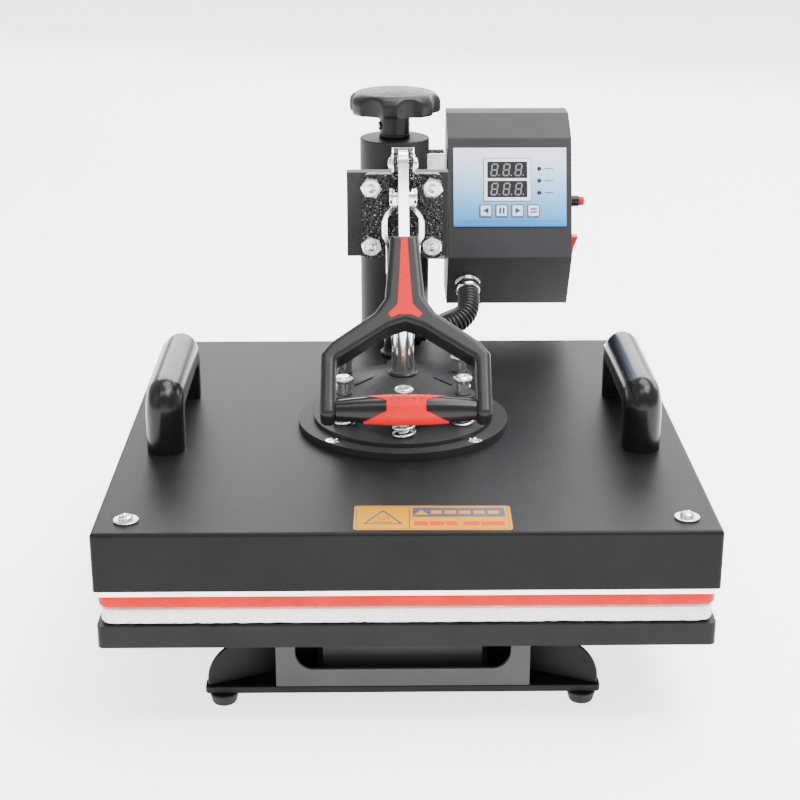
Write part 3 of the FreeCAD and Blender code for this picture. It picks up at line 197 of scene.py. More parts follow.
def plated(name, tone, rough, scratch=0.00002, tint=(1, 1, 1)):
    """Plated metal: drifting tone and hairline scratches."""
    s = Surface(name, metallic=1.0)
    cloud = s.noise(30, 4)
    s.colours(cloud, (0.3, tuple(tone * 0.93 * t for t in tint)), (0.7, tuple(tone * t for t in tint)))
    s.rough(s.noise(400, 4, (1, 1, 0.15)), *rough)
    return s.bump(s.noise(900, 3, (1, 0.08, 1)), scratch).material


def moulded(name, dark, light, rough, grain, depth, shine=0.5):
    """Moulded plastic or rubber: colour drift, spark-eroded grain and a soft waviness."""
    s = Surface(name, Specular_IOR_Level=shine)
    s.colours(s.noise(14, 3), (0.3, dark), (0.7, light))
    s.rough(s.noise(180, 4), *rough)
    return s.bump(s.noise(grain, 2), depth).bump(s.noise(45, 2), depth * 4, 0.35).material


def hammered_painted_glints():
    """Hammered enamel: close dimples over near-black; the bright specks in the colour are painted glints,
    not light caught by the dimples.
    """
    s = Surface("dimpled_enamel_painted_glints", Specular_IOR_Level=0.20)
    # Painted glints: the ramp's last stop puts pale grey specks into the base colour where the lamps would
    # make glints.
    s.colours(s.noise(820, 2), (0.0, grey(0.005)), (0.62, grey(0.009)), (0.70, grey(0.45)))
    s.rough(s.noise(300, 3), 0.14, 0.26)
    return s.bump(s.cells(420, "SMOOTH_F1"), 0.0009, 0.8).material


def felt():
    """Pressed felt: tangled fibres of several lengths, and a soft sheen."""
    s = Surface("white_felt", Sheen_Weight=0.5, Sheen_Roughness=0.6)
    s.colours(s.noise(500, 6, (1, 1, 0.35)), (0.3, (0.84, 0.84, 0.83)), (0.62, (0.97, 0.97, 0.96)))
    s.rough(s.noise(90, 3), 0.85, 1.0)
    s.bump(s.noise(700, 6, (1, 0.2, 1)), 0.0006).bump(s.noise(800, 6, (0.2, 1, 1)), 0.0006)
    return s.bump(s.noise(120, 4), 0.0012, 0.6).material


def silicone():
    """Red silicone foam: a skin with open pores."""
    s = Surface("red_silicone", Specular_IOR_Level=0.1)
    s.colours(s.noise(70, 5), (0.3, (0.50, 0.008, 0.004)), (0.7, (0.62, 0.014, 0.008)))
    s.rough(s.noise(200, 3), 0.45, 0.68)
    s.bump(s.cells(900, "SMOOTH_F1"), 0.00025)
    return s.bump(s.noise(160, 3), 0.0004, 0.5).material


def milled():
    """Milled aluminium with fine parallel cutter lines."""
    s = Surface("milled_aluminium", metallic=1.0)
    s.colours(s.noise(20, 4), (0.3, (0.80, 0.80, 0.80)), (0.7, (0.92, 0.92, 0.92)))
    s.rough(s.noise(300, 3, (0.05, 1, 1)), 0.28, 0.45)
    return s.bump(s.noise(1200, 3, (0.03, 1, 1)), 0.00006).material


def blanket():
    """Ceramic-fibre blanket."""
    s = Surface("ceramic_fibre", Sheen_Weight=0.3)
    s.colours(s.noise(260, 6), (0.3, (0.70, 0.66, 0.55)), (0.7, (0.88, 0.86, 0.78)))
    s.rough(s.noise(60, 3), 0.85, 1.0)
    return s.bump(s.noise(400, 6, (1, 1, 4)), 0.001).material


FOLD_LOW = Vector((0, 0.145, 0.211))
FOLD_TOP = Vector((0, 0.179, 0.303))
RISE = (FOLD_TOP - FOLD_LOW).normalized()


def overlay_print():
    """Polyester overlay, printed from pale lilac at the top to sky blue at the bottom."""
    s = Surface("overlay_print", Coat_Weight=0.25, Coat_Roughness=0.25)
    low = FOLD_LOW.dot(RISE)
    up = s.along(RISE, low + 0.0256, low + 0.0899)
    s.colours(up, (0.0, (0.002, 0.14, 0.58)), (0.055, (0.04, 0.28, 0.66)), (0.3, (0.14, 0.43, 0.78)),
              (0.62, (0.42, 0.66, 0.90)), (0.92, (0.78, 0.81, 0.95)))
    s.rough(s.noise(240, 3), 0.30, 0.42)
    return s.bump(s.noise(2200, 2), 0.00003).material


LOOKS = {
    "platen_coat": coated("platen_coat", 0.005, 0.007, (0.38, 0.46), 1500, 0.00010, 0.11),
    # Painted fill light: a lighter copy of the platen's black coat, so the sleeve, arms and discs that lie
    # in shade look lit.
    "black_coat": coated("black_coat", 0.020, 0.026, (0.42, 0.52), 1300, 0.00012, 0.09),
    "tray_coat": coated("tray_coat", 0.008, 0.012, (0.34, 0.42), 1500, 0.00010, 0.11),
    # Painted light: a much lighter copy of the black coat, so the front support panel and the channel face
    # behind its cut-out, both in shade under the tray, look lit from the front.
    "panel_coat_painted_light": coated("panel_coat_painted_light", 0.050, 0.060, (0.42, 0.56), 1200, 0.00012),
    "base_coat": coated("base_coat", 0.010, 0.015, (0.42, 0.56), 1200, 0.00012, 0.10),
    # Painted fill light: the control box's black coat is set lighter so its shaded front and underside look
    # lit.
    "box_coat_painted_fill": coated("box_coat_painted_fill", 0.028, 0.036, (0.46, 0.58), 1000, 0.00022),
    "hammered_painted_glints": hammered_painted_glints(),
    "end_plate": coated("end_plate_coat", 0.022, 0.032, (0.42, 0.58), 900, 0.00018),
    "dark_steel": plated("dark_steel", 0.16, (0.30, 0.46), 0.00005, (1, 0.98, 0.97)),
    "chrome": plated("bright_chrome", 0.86, (0.045, 0.10), 0.000006, (0.98, 0.99, 1)),
    "zinc": plated("zinc_plate", 0.72, (0.18, 0.34), 0.00003, (1, 0.995, 0.97)),
    "bright_zinc": plated("bright_zinc", 0.92, (0.16, 0.26), 0.00002, (0.99, 1, 1)),
    "bright_edge": plated("bright_edge", 0.78, (0.12, 0.28), 0.00002),
    "brass": plated("brass_blade", 0.72, (0.16, 0.30), 0.00002, (1, 0.80, 0.42)),
    "aluminium": milled(),
    "felt": felt(),
    "silicone": silicone(),
    "blanket": blanket(),
    "matte_black": moulded("matte_black", grey(0.006), grey(0.010), (0.32, 0.44), 1600, 0.00003, 0.24),
    "gloss_black": moulded("gloss_black", grey(0.005), grey(0.008), (0.20, 0.26), 1300, 0.00001, 0.22),
    "red_plastic": moulded("red_plastic", (0.46, 0.002, 0.004), (0.56, 0.004, 0.007),
                           (0.26, 0.38), 1500, 0.00005, 0.12),
    "rubber": moulded("foot_rubber", grey(0.010), grey(0.017), (0.55, 0.75), 900, 0.00015, 0.2),
    "conduit": moulded("ribbed_conduit", grey(0.010), grey(0.016), (0.26, 0.40), 1200, 0.00006),
    "cord": moulded("cord_jacket", grey(0.011), grey(0.018), (0.36, 0.5), 1400, 0.00006),
    "overlay": overlay_print(),
    "key_face": moulded("key_face", (0.66, 0.74, 0.82), (0.76, 0.82, 0.88), (0.28, 0.40), 1800, 0.00003),
    "frame_print": moulded("frame_print", (0.80, 0.84, 0.88), (0.88, 0.90, 0.93),
                           (0.3, 0.42), 1800, 0.00002),
    "window": moulded("smoked_window", (0.012, 0.012, 0.016), (0.02, 0.02, 0.026), (0.08, 0.14),
                      900, 0.000006),
    "segment": moulded("unlit_segment", (0.19, 0.18, 0.16), (0.24, 0.23, 0.205), (0.3, 0.4),
                       1500, 0.00001),
    "ink": moulded("printed_ink", (0.02, 0.03, 0.06), (0.035, 0.045, 0.085), (0.35, 0.5), 1800, 0.00001),
    "blue_ink": moulded("blue_ink", (0.03, 0.15, 0.32), (0.05, 0.19, 0.38), (0.35, 0.5), 1800, 0.00001),
    "board": moulded("solder_mask", (0.02, 0.16, 0.07), (0.03, 0.22, 0.10), (0.3, 0.4), 900, 0.00004),
    "label_yellow": moulded("label_yellow", (0.52, 0.21, 0.0002), (0.60, 0.26, 0.0004), (0.45, 0.58),
                            1500, 0.00003, 0.03),
    "label_red": moulded("label_red", (0.50, 0.02, 0.004), (0.58, 0.03, 0.006),
                           (0.3, 0.42), 1500, 0.00001, 0.1),
}


# ---- mesh helpers

SHARP = radians(38)


class Piece:
    """One mesh piece, put together from closed parts, each with a look of its own."""

    def __init__(self, name):
        self.name = name
        self.bm = bmesh.new()
        self.looks = []

    def look(self, name):
        if name not in self.looks:
            self.looks.append(name)
        return self.looks.index(name)

    def rings(self, rings, look, matrix=None, caps=True):
        """Skin over rings of points; caps fill the first and the last ring."""
        index = self.look(look)
        matrix = matrix or Matrix.Identity(4)
        made = [[self.bm.verts.new(matrix @ Vector(point)) for point in ring] for ring in rings]
        faces = []
        for lower, upper in zip(made, made[1:]):
            count = len(lower)
            for k in range(count):
                following = (k + 1) % count
                faces.append(self.bm.faces.new((lower[k], lower[following], upper[following], upper[k])))
        if caps:
            faces.append(self.bm.faces.new(list(reversed(made[0]))))
            faces.append(self.bm.faces.new(made[-1]))
        for face in faces:
            face.material_index = index
            face.smooth = True
        return self

    def done(self, body, slot, *replaced):
        bmesh.ops.recalc_face_normals(self.bm, faces=self.bm.faces)
        for edge in self.bm.edges:
            if len(edge.link_faces) == 2:
                edge.smooth = edge.calc_face_angle(0) < SHARP
        mesh = bpy.data.meshes.new(self.name)
        self.bm.to_mesh(mesh)
        self.bm.free()
        obj = added(self.name, mesh)
        for look in self.looks:
            mesh.materials.append(LOOKS[look])
        if body:
            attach(obj, body)
        if replaced:
            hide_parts(*replaced)
        return obj


def rounded(points, radius, steps=3, closed=False):
    """A 2D line with each corner rounded off; a closed line rounds its ends too."""
    count = len(points)
    points = [Vector(point).to_2d() for point in points]
    out = []
    for k, corner in enumerate(points):
        if not closed and k in (0, count - 1):
            out.append(corner)
            continue
        before = points[k - 1]
        after = points[(k + 1) % count]
        reach = min(radius, (before - corner).length * 0.45, (after - corner).length * 0.45)
        enter = corner + (before - corner).normalized() * reach
        leave = corner + (after - corner).normalized() * reach
        for step in range(steps + 1):
            t = step / steps
            out.append(enter * (1 - t) ** 2 + corner * 2 * t * (1 - t) + leave * t ** 2)
    return out


def turned(profile, radius=0.5, segments=40, wobble=None):
    """Rings of a turned shape from (radius, height) points; wobble scales radius by angle. Millimetres."""
    rings = []
    for r, z in rounded(profile, radius):
        ring = []
        for k in range(segments):
            angle = tau * k / segments
            reach = max(r, 0.02) * (wobble(angle, z) if wobble else 1)
            ring.append((reach * cos(angle), reach * sin(angle), z))
        rings.append(ring)
    return rings


def rectangle(width, height, corner, steps=5):
    half_w, half_h = width / 2, height / 2
    square = [(-half_w, -half_h), (half_w, -half_h), (half_w, half_h), (-half_w, half_h)]
    return rounded(square, corner, steps, closed=True)


def inset(outline, distance):
    """The outline moved inwards; it runs anticlockwise."""
    count = len(outline)
    out = []
    for k in range(count):
        before, here, after = outline[k - 1], outline[k], outline[(k + 1) % count]
        along = (after - before).normalized()
        out.append(here + Vector((-along.y, along.x)) * distance)
    return out


def slab(outline, low, high, edge):
    """Rings of a flat plate with rounded-off edges."""
    steps = [(1.0, 0.0), (0.3, 0.3), (0.0, 1.0)]
    lower = [[(x, y, low + edge * rise) for x, y in inset(outline, edge * inward)]
             for inward, rise in steps]
    upper = [[(x, y, high - edge * rise) for x, y in inset(outline, edge * inward)]
             for inward, rise in reversed(steps)]
    return lower + upper


def hoop(outer, inner, low, high):
    """Rings of a flat frame between two outlines."""
    rings = [[(x, y, z) for x, y in line]
             for line, z in ((outer, low), (outer, high), (inner, high), (inner, low))]
    return rings + rings[:1]


def dense(outline, step):
    """The outline again with extra points on its long sides."""
    out = []
    for k, here in enumerate(outline):
        following = outline[(k + 1) % len(outline)]
        count = max(1, round((following - here).length / step))
        out += [here.lerp(following, i / count) for i in range(count)]
    return out


def shifted(outline, x, y):
    return [point + Vector((x, y)) for point in outline]


def placed(x, y, z, turn=Matrix.Identity(4)):
    """Matrix from a shape's own millimetres to a place in metres."""
    return Matrix.Translation((x, y, z)) @ turn @ SCALE


def axis_frame(place, direction, spin=0.0):
    """The same, with the shape's +Z pointing along direction."""
    turn = Vector(direction).to_track_quat("Z", "Y").to_matrix().to_4x4()
    return placed(*place, turn @ Matrix.Rotation(spin, 4, "Z"))


def smooth_line(points, resolution=12):
    """Points read from a NURBS curve with the route as its control points."""
    curve = bpy.data.curves.new("route", "CURVE")
    curve.dimensions = "3D"
    curve.resolution_u = resolution
    spline = curve.splines.new("NURBS")
    spline.points.add(len(points) - 1)
    for point, place in zip(spline.points, points):
        point.co = (*place, 1)
    spline.order_u = 3
    spline.use_endpoint_u = True
    obj = bpy.data.objects.new("route", curve)
    mesh = bpy.data.meshes.new_from_object(obj)
    line = [vertex.co.copy() for vertex in mesh.vertices]
    bpy.data.meshes.remove(mesh)
    bpy.data.curves.remove(curve)
    return line


def line_length(line):
    return sum((b - a).length for a, b in zip(line, line[1:]))


def spaced(line, step):
    """The line again, with points an even step apart."""
    total = line_length(line)
    count = max(2, round(total / step))
    out = []
    k = 0
    passed = 0.0
    for i in range(count + 1):
        target = total * i / count
        while k < len(line) - 2 and passed + (line[k + 1] - line[k]).length < target:
            passed += (line[k + 1] - line[k]).length
            k += 1
        span = (line[k + 1] - line[k]).length
        out.append(line[k].lerp(line[k + 1], min(1.0, (target - passed) / max(span, 1e-9))))
    return out


def tube(line, radius_at, sides):
    """Rings round a line; radius_at gives the radius at a distance along it."""
    rings = []
    normal = None
    passed = 0.0
    for k, point in enumerate(line):
        before = line[max(k - 1, 0)]
        after = line[min(k + 1, len(line) - 1)]
        tangent = (after - before).normalized()
        if normal is None:
            normal = tangent.orthogonal().normalized()
        normal = (normal - tangent * normal.dot(tangent)).normalized()
        side = tangent.cross(normal)
        if k:
            passed += (point - line[k - 1]).length
        radius = radius_at(passed)
        rings.append([point + (normal * cos(tau * i / sides)
                               + side * sin(tau * i / sides)) * radius
                      for i in range(sides)])
    return rings


def dress(name, look, bevel=0):
    """Give a CAD node its material and edges softened by a bevel in millimetres."""
    obj = nodes[name]
    obj.data.materials.clear()
    obj.data.materials.append(LOOKS[look])
    if bevel:
        obj.data.attributes.remove(obj.data.attributes["custom_normal"])
        obj.data.shade_smooth()
        weld = obj.modifiers.new("weld", "WELD")
        weld.merge_threshold = 0.000005
        flat = obj.modifiers.new("flat_faces", "DECIMATE")
        flat.decimate_type = "DISSOLVE"
        flat.angle_limit = radians(0.5)
        soft = obj.modifiers.new("soft_edges", "BEVEL")
        soft.width = bevel * MM
        soft.segments = 2
        soft.limit_method = "ANGLE"
        soft.angle_limit = SHARP
        soft.harden_normals = True


# ---- mains lead

LEAD = 0.007
LEAD_ROUTE = [(125, 261, 176), (125, 282, 175), (121, 303, 166), (109, 316, 148),
              (88, 318, 131), (60, 309, 120), (34, 295, 113), (10, 280, 101),
              (-4, 267, 80), (-8, 259, 52), (-18, 256.5, 27), (-40, 256.5, 8.5),
              (-72, 256.5, 3.6)]
COIL_MIDDLE = (-72, 300)
# The turns' places in the coil's section, in the order in which the lead takes them.
COIL_SLOTS = [(43.5, 3.6), (36.3, 3.6), (36.3, 10.7), (36.3, 17.4), (43.5, 17.4), (43.5, 10.7)]
COIL_TURNS = 5.5
POINTS_PER_TURN = 18


def coil_point(turns):
    """A point of the coil after some turns, clockwise from its front."""
    angle = radians(-90) - turns * tau
    radius, height = COIL_SLOTS[0]
    for k, slot in enumerate(COIL_SLOTS[1:], start=1):
        crossing = k - 0.07 * k
        t = min(1, max(0, (turns - crossing) / 0.12 + 0.5))
        t = t * t * (3 - 2 * t)
        radius += (slot[0] - COIL_SLOTS[k - 1][0]) * t
        height += (slot[1] - COIL_SLOTS[k - 1][1]) * t
    return (COIL_MIDDLE[0] + radius * cos(angle), COIL_MIDDLE[1] + radius * sin(angle), height)


route = list(LEAD_ROUTE)
route += [coil_point(k / POINTS_PER_TURN)
          for k in range(1, int(COIL_TURNS * POINTS_PER_TURN) + 1)]
route += [(-64, 343.5, 11.6), (-51, 343.5, 12.5)]
lead_line = smooth_line([Vector(point) * MM for point in route])

lead = Piece("mains_lead_cord")
lead.rings(tube(lead_line, lambda s: LEAD / 2, 14), "cord")
lead = lead.done(None, "cord_black", "mains_lead", "cord_coil")
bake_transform(lead)

relief_low, relief_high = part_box("strain_relief")
relief_middle = (relief_low + relief_high) / 2
relief_length = (relief_high.y - relief_low.y) / MM
relief_profile = [(3.5, -1), (7.2, -1), (7.2, 1.8), (6.4, 2.2)]
for k in range(6):
    at = 4 + k * 4.3
    size = 6.3 - k * 0.33
    relief_profile += [(size, at), (size, at + 2.6), (size - 1.2, at + 2.9), (size - 1.2, at + 4)]
relief_profile += [(4.3, relief_length - 1), (4, relief_length), (3, relief_length)]
relief = Piece("strain_relief_sleeve")
relief.rings(turned(relief_profile, 0.4), "cord",
             axis_frame((relief_middle.x, relief_low.y, relief_middle.z), (0, 1, 0)))
relief = relief.done("swing_arm", "cord_black", "strain_relief")

plug_low, plug_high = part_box("mains_plug")
plug = Piece("mains_plug_body")
PLUG_Y = (plug_low.y + plug_high.y) / 2
PLUG_Z = 0.0125

# Cross sections of the plug: distance from its cord end, width, height and corner radius.
sections = [(0.0, 8.4, 8.4, 4.2), (4, 9.2, 9.2, 4.6)]
for k in range(3):
    at = 4.5 + k * 4.2
    size = 9.4 + k * 1
    sections += [(at, size - 2, size - 2, 4), (at + 0.8, size, size, 4.7),
                 (at + 3, size + 0.5, size + 0.5, 5)]
sections += [(18.5, 13, 13, 6), (20, 18.5, 18, 7),
             (23, 22.8, 21.5, 7), (29, 24.5, 23.2, 6)]
for k in range(3):
    at = 31 + k * 3.6
    sections += [(at, 24.5, 23.2, 6), (at + 0.6, 23.1, 22, 6),
                 (at + 1.8, 23.1, 22, 6), (at + 2.4, 24.5, 23.2, 6)]
sections += [(44, 24.8, 23.6, 4), (47.2, 24.8, 23.6, 3),
             (48, 23.6, 22.4, 3)]
plug.rings([[(x, u, v) for u, v in rectangle(width, height, corner)]
            for x, width, height, corner in sections], "cord", placed(plug_low.x, PLUG_Y, PLUG_Z))
face_x = plug_low.x + 0.0475
for side in (-1, 1):
    blade = slab(rectangle(16.5, 6.2, 0.8, 3), -0.75, 0.75, 0.3)
    plug.rings(blade, "brass", placed(face_x + 0.00825, PLUG_Y + side * 0.00635, PLUG_Z + 0.004,
                                      Matrix.Rotation(radians(90), 4, "X")))
plug.rings(turned([(0.1, -2), (2.3, -2), (2.3, 15.5), (1.2, 18.5), (0.1, 18.7)]),
           "brass", axis_frame((face_x, PLUG_Y, PLUG_Z - 0.007), (1, 0, 0)))
plug = plug.done("base", "cord_black", "mains_plug")

# ---- conduit hose and its fittings

HOSE_ROUTE = [(56.5, 150, 181.5), (57, 135.7, 172.4), (51.3, 125.9, 166.1),
              (41.1, 119.2, 161.8), (28.3, 116.9, 160.3), (14, 115, 158.5)]
HOSE_PITCH = 0.0031
hose_line = smooth_line([Vector(point) * MM for point in HOSE_ROUTE], resolution=24)
hose_line = spaced(hose_line, HOSE_PITCH / 8)


def hose_radius(passed):
    """Round-topped ribs with narrow valleys."""
    wave = 0.5 + 0.5 * cos(tau * passed / HOSE_PITCH)
    return 0.0074 + 0.0016 * wave ** 0.55


hose = Piece("conduit_hose_ribbed")
hose.rings(tube(hose_line, hose_radius, 40), "conduit")
hose = hose.done(None, "hose_black", "conduit_hose")
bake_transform(hose)

hose_heading = (hose_line[1] - hose_line[0]).normalized()


def knurl(teeth, depth, low, high):
    """Knurled band between two heights."""
    def wobble(angle, z):
        inside = low < z < high
        return 1 - depth * (0.5 + 0.5 * cos(teeth * angle)) if inside else 1
    return wobble


gland = Piece("hose_gland_nickel")
gland_start = hose_line[0] - hose_heading * 0.0135
gland.rings(turned([(4, 0), (9, 0), (9, 1.8), (10.4, 2), (10.4, 5.2),
                    (9.4, 5.6), (9.4, 6.6), (10.3, 7), (10.3, 11.2),
                    (9.8, 12.8), (9.2, 13.8), (8, 13.8), (8, 12)],
                   0.4, 120, knurl(40, 0.035, 7.2, 11.1)),
            "chrome", axis_frame(gland_start, hose_heading))
gland.done("swing_arm", "bright_chrome", "hose_gland")

elbow_low, elbow_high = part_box("hose_elbow")
elbow_x = elbow_low.x + 0.013
elbow_y = (elbow_low.y + elbow_high.y) / 2
hose_end = hose_line[-1]
end_heading = (hose_end - hose_line[-2]).normalized()
elbow = Piece("hose_elbow_fitting")
elbow_line = smooth_line([(elbow_x, elbow_y, elbow_low.z + 0.004), (elbow_x, elbow_y, elbow_low.z + 0.012),
                          Vector((elbow_x, elbow_y, hose_end.z)) - end_heading * 0.001,
                          hose_end - end_heading * 0.004, hose_end + end_heading * 0.001])
elbow.rings(tube(spaced(elbow_line, 0.0008), lambda s: 0.0098, 32), "matte_black")
elbow.rings(turned([(6, 0.0), (13, 0.0), (13, 2.8), (10.4, 4), (10.4, 6),
                    (6, 6.2)], 0.6), "matte_black",
            placed(elbow_x, elbow_y, elbow_low.z))
elbow.rings(turned([(7, 0.0), (11.4, 0.0), (11.4, 7), (10.4, 8), (7.2, 8)],
                   0.6, 96, knurl(24, 0.05, 0.8, 6.8)), "matte_black",
            axis_frame(hose_end + end_heading * 0.0075, -end_heading))
elbow.done("heat_platen", "matte_black", "hose_elbow")


# ---- padded layers

def layer_rings(node, corner, edge, bulge, fuzz, ragged):
    """Soft slab the size of a CAD node: rounded edges, swelling sides and uneven outline."""
    low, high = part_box(node)
    width, depth = high.x - low.x - 2 * bulge, high.y - low.y - 2 * bulge
    outline = dense(rectangle(width, depth, corner, 8), 0.003)
    steps = 8
    toward_middle = (0.12, 0.35, 0.62, 0.9)
    profile = [(edge, low.z)]
    for k in range(steps + 1):
        t = k / steps
        z = low.z + (high.z - low.z) * t
        shoulder = max(0, 1 - min(t, 1 - t) * (high.z - low.z) / edge)
        profile.append((edge * (1 - sqrt(max(0, 1 - shoulder ** 2))) - bulge * sin(pi * t), z))
    profile.append((edge, high.z))
    rings = []
    for inward, z in profile:
        ring = []
        for x, y in inset(outline, inward):
            place = Vector((x, y, z))
            shake = noise.noise(place * 260) * fuzz + noise.noise(place * 55) * fuzz
            toward = 1 - max(0, shake) / width * 2
            sag = 0
            if ragged and inward < edge + 0.001 and z < low.z + 0.003:
                sag = abs(noise.noise(Vector((x, y, 0)) * 170)) * ragged
            ring.append((x * toward, PLATEN_Y + y * toward, z + sag))
        rings.append(ring)

    def shrunk(ring, share):
        return [(x * share, PLATEN_Y + (y - PLATEN_Y) * share, z) for x, y, z in ring]

    floor_rings = [shrunk([(x, y, low.z) for x, y, _ in rings[0]], share) for share in toward_middle]
    top_rings = [shrunk(rings[-1], share) for share in reversed(toward_middle)]
    return floor_rings + rings + top_rings


def padded_layer(name, node, look, slot, body, fill, **shape):
    piece = Piece(name)
    piece.rings(layer_rings(node, **shape), look)
    piece.done(body, slot, node)


padded_layer("felt_layer", "felt_pad", "felt", "white_felt", "base", 0.9,
             corner=0.010, edge=0.003, bulge=0.0002, fuzz=0.0006, ragged=0.0012)
padded_layer("silicone_layer", "silicone_pad", "silicone", "red_silicone", "base", 0.95,
             corner=0.010, edge=0.0016, bulge=0.0002, fuzz=0.0002, ragged=0)
padded_layer("insulation_layer", "insulation_blanket", "blanket", "insulation", "heat_platen", 0.8,
             corner=0.006, edge=0.003, bulge=0.0002, fuzz=0.0006, ragged=0)

# ---- screws and bolts


def cross_recess(x, y, size, depth):
    """Depth of a cross recess at a point of a screw's head."""
    arm = size * 0.24
    reach = max(abs(x), abs(y))
    off = min(abs(x), abs(y))
    inside = max(0, min(1, (arm - off) / (size * 0.09))) * max(0, min(1, (size - reach) / (size * 0.2)))
    return depth * inside * (1 - 0.5 * reach / size)


def screw_head(radius, low, high, crown, recess):
    """Rings of a round head with a cross recess; crown is how much its top is domed."""
    rings = [[(0.6 * radius * cos(a), 0.6 * radius * sin(a), low)
              for a in (tau * k / 96 for k in range(96))]]
    side = [(1.0, 0.0), (1.0, 1 - crown)]
    dome = [(cos(t), 1 - crown + crown * sin(t))
            for t in (radians(90) * k / 8 for k in range(1, 7))]
    flat_from = dome[-1][0]
    top = [(flat_from * (1 - k / 18), dome[-1][1] + (1 - dome[-1][1]) * k / 18) for k in range(1, 18)]
    for share, rise in side + dome + top + [(0.01, 1.0)]:
        ring = []
        for k in range(96):
            angle = tau * k / 96
            x = radius * share * cos(angle)
            y = radius * share * sin(angle)
            z = low + (high - low) * rise - cross_recess(x, y, radius * 0.62, recess)
            ring.append((x, y, z))
        rings.append(ring)
    return rings


SCREW_X, SCREW_Y, DISC_CIRCLE = 0.175, 0.174, 0.069
corner_screws = Piece("cover_pan_screws")
disc_heads = Piece("disc_flush_screws")
cover_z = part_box("platen_cover")[1].z
disc_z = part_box("outer_disc")[1].z
for k, (side, end) in enumerate(((-1, -1), (1, -1), (-1, 1), (1, 1))):
    spin = Matrix.Rotation(radians((17, 58, 33, 71)[k]), 4, "Z")
    place = placed(side * SCREW_X, PLATEN_Y + end * SCREW_Y, cover_z, spin)
    corner_screws.rings(turned([(3, 0), (8, 0), (8, 1.2), (3, 1.2)], 0.4, 56), "zinc", place)
    corner_screws.rings(screw_head(4.6, 1.1, 4.4, 0.62, 1.7), "chrome", place)
    corner_screws.rings(turned([(0.1, -20), (2.4, -19), (2.4, 1.2), (0.1, 1.2)], 0.3, 20), "zinc", place)
    angle = radians(45 + 90 * k)
    place = placed(DISC_CIRCLE * cos(angle), PLATEN_Y + DISC_CIRCLE * sin(angle), disc_z, spin)
    disc_heads.rings(screw_head(5.5, -2.2, 0.2, 0.10, 1.4), "chrome", place)
corner_screws.done("heat_platen", "zinc_plate", "cover_screws")
disc_heads.done("heat_platen", "zinc_plate", "disc_screws")

box_heads = Piece("box_pan_screws")
box_low, box_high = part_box("box_shell")
box_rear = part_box("box_back_cover")[1].y
for k, (x, z) in enumerate((x, z) for x in (box_low.x + 0.009, box_high.x - 0.009)
                           for z in (box_low.z + 0.030, box_high.z - 0.010)):
    box_heads.rings(screw_head(3.2, -0.4, 1.8, 0.7, 1), "zinc",
                    axis_frame((x, box_rear, z), (0, 1, 0), 0.4 * k))
box_heads.done("swing_arm", "zinc_plate", "box_screws")


def hexagon_radius(angle, across_flats):
    sector = (angle + pi / 6) % (pi / 3) - pi / 6
    return across_flats / 2 / cos(sector)


def hex_head(across_flats, height):
    """Rings of a hexagon head with a turned chamfer and a raised ring on its face."""
    angles = [tau * k / 72 for k in range(72)]
    chamfer = across_flats / 2 * 0.95

    def ring(radius_at, z_at):
        return [(radius_at(a) * cos(a), radius_at(a) * sin(a), z_at(a)) for a in angles]

    def flats(angle):
        return hexagon_radius(angle, across_flats)

    rings = [ring(lambda a: across_flats * 0.3, lambda a: 0),
             ring(flats, lambda a: 0),
             ring(flats, lambda a: height - (flats(a) - chamfer) * 0.6),
             ring(lambda a: chamfer, lambda a: height)]
    for share, drop in ((0.80, 0), (0.76, 0.4), (0.45, 0.5), (0.40, 0.3), (0.01, 0.3)):
        rings.append(ring(lambda a, s=share: chamfer * s, lambda a, d=drop: height - d))
    return rings


clamp_heads = Piece("clamp_hex_bolts")
bolt_low, bolt_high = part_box("clamp_bolts")
flange_front = -0.023
for k, (x, z) in enumerate((x, z) for x in (bolt_low.x + 0.0075, bolt_high.x - 0.0075)
                           for z in (bolt_low.z + 0.0065, bolt_high.z - 0.0065)):
    turn = axis_frame((x, flange_front, z), (0, -1, 0), radians((12, 26, 4, 18)[k]))
    clamp_heads.rings(hex_head(13, 5.3), "zinc", turn)
    clamp_heads.rings(turned([(0.1, -16), (3.8, -16), (3.8, 0.6), (0.1, 0.6)],
                             0.4, 32), "zinc", turn)
clamp_heads.done("swing_arm", "zinc_plate", "clamp_bolts")

# ---- springs and their bolts

spring_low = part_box("small_disc")[1].z
spring_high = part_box("pressure_springs")[1].z
WIRE, COIL_RADIUS, BOLT_CIRCLE = 0.001, 0.00725, 0.048
springs = Piece("pressure_spring_coils")
bolts = Piece("spring_dome_bolts")
bolt_profile = [(0.1, 140.2), (4.7, 140.2), (4.7, 178.6), (5.6, 179.2), (6.4, 180),
                (6.5, 181.8), (5.8, 182.9), (4, 183.4), (1.6, 183.5), (1.2, 183.2),
                (0.1, 183.1)]
TURNS = 4.6
for k in range(6):
    angle = radians(-90 + 60 * k)
    place = Matrix.Translation((BOLT_CIRCLE * cos(angle), PLATEN_Y + BOLT_CIRCLE * sin(angle), 0))
    start = 1.1 * k
    wire_line = []
    for i in range(int(TURNS * 30) + 1):
        turns = i / 30
        t = turns / TURNS
        eased = max(0, min(1, (t - 0.13) / 0.74))
        z = spring_low + WIRE + (spring_high - spring_low - 2 * WIRE) * eased
        a = start + turns * tau
        wire_line.append(Vector((COIL_RADIUS * cos(a), COIL_RADIUS * sin(a), z)))
    springs.rings(tube(wire_line, lambda s: WIRE, 10), "bright_zinc", place)
    bolts.rings(turned(bolt_profile, 0.4, 48), "bright_zinc", place @ SCALE)
springs.done("heat_platen", "zinc_plate", "pressure_springs")
bolts.done("heat_platen", "bright_chrome", "spring_bolts")

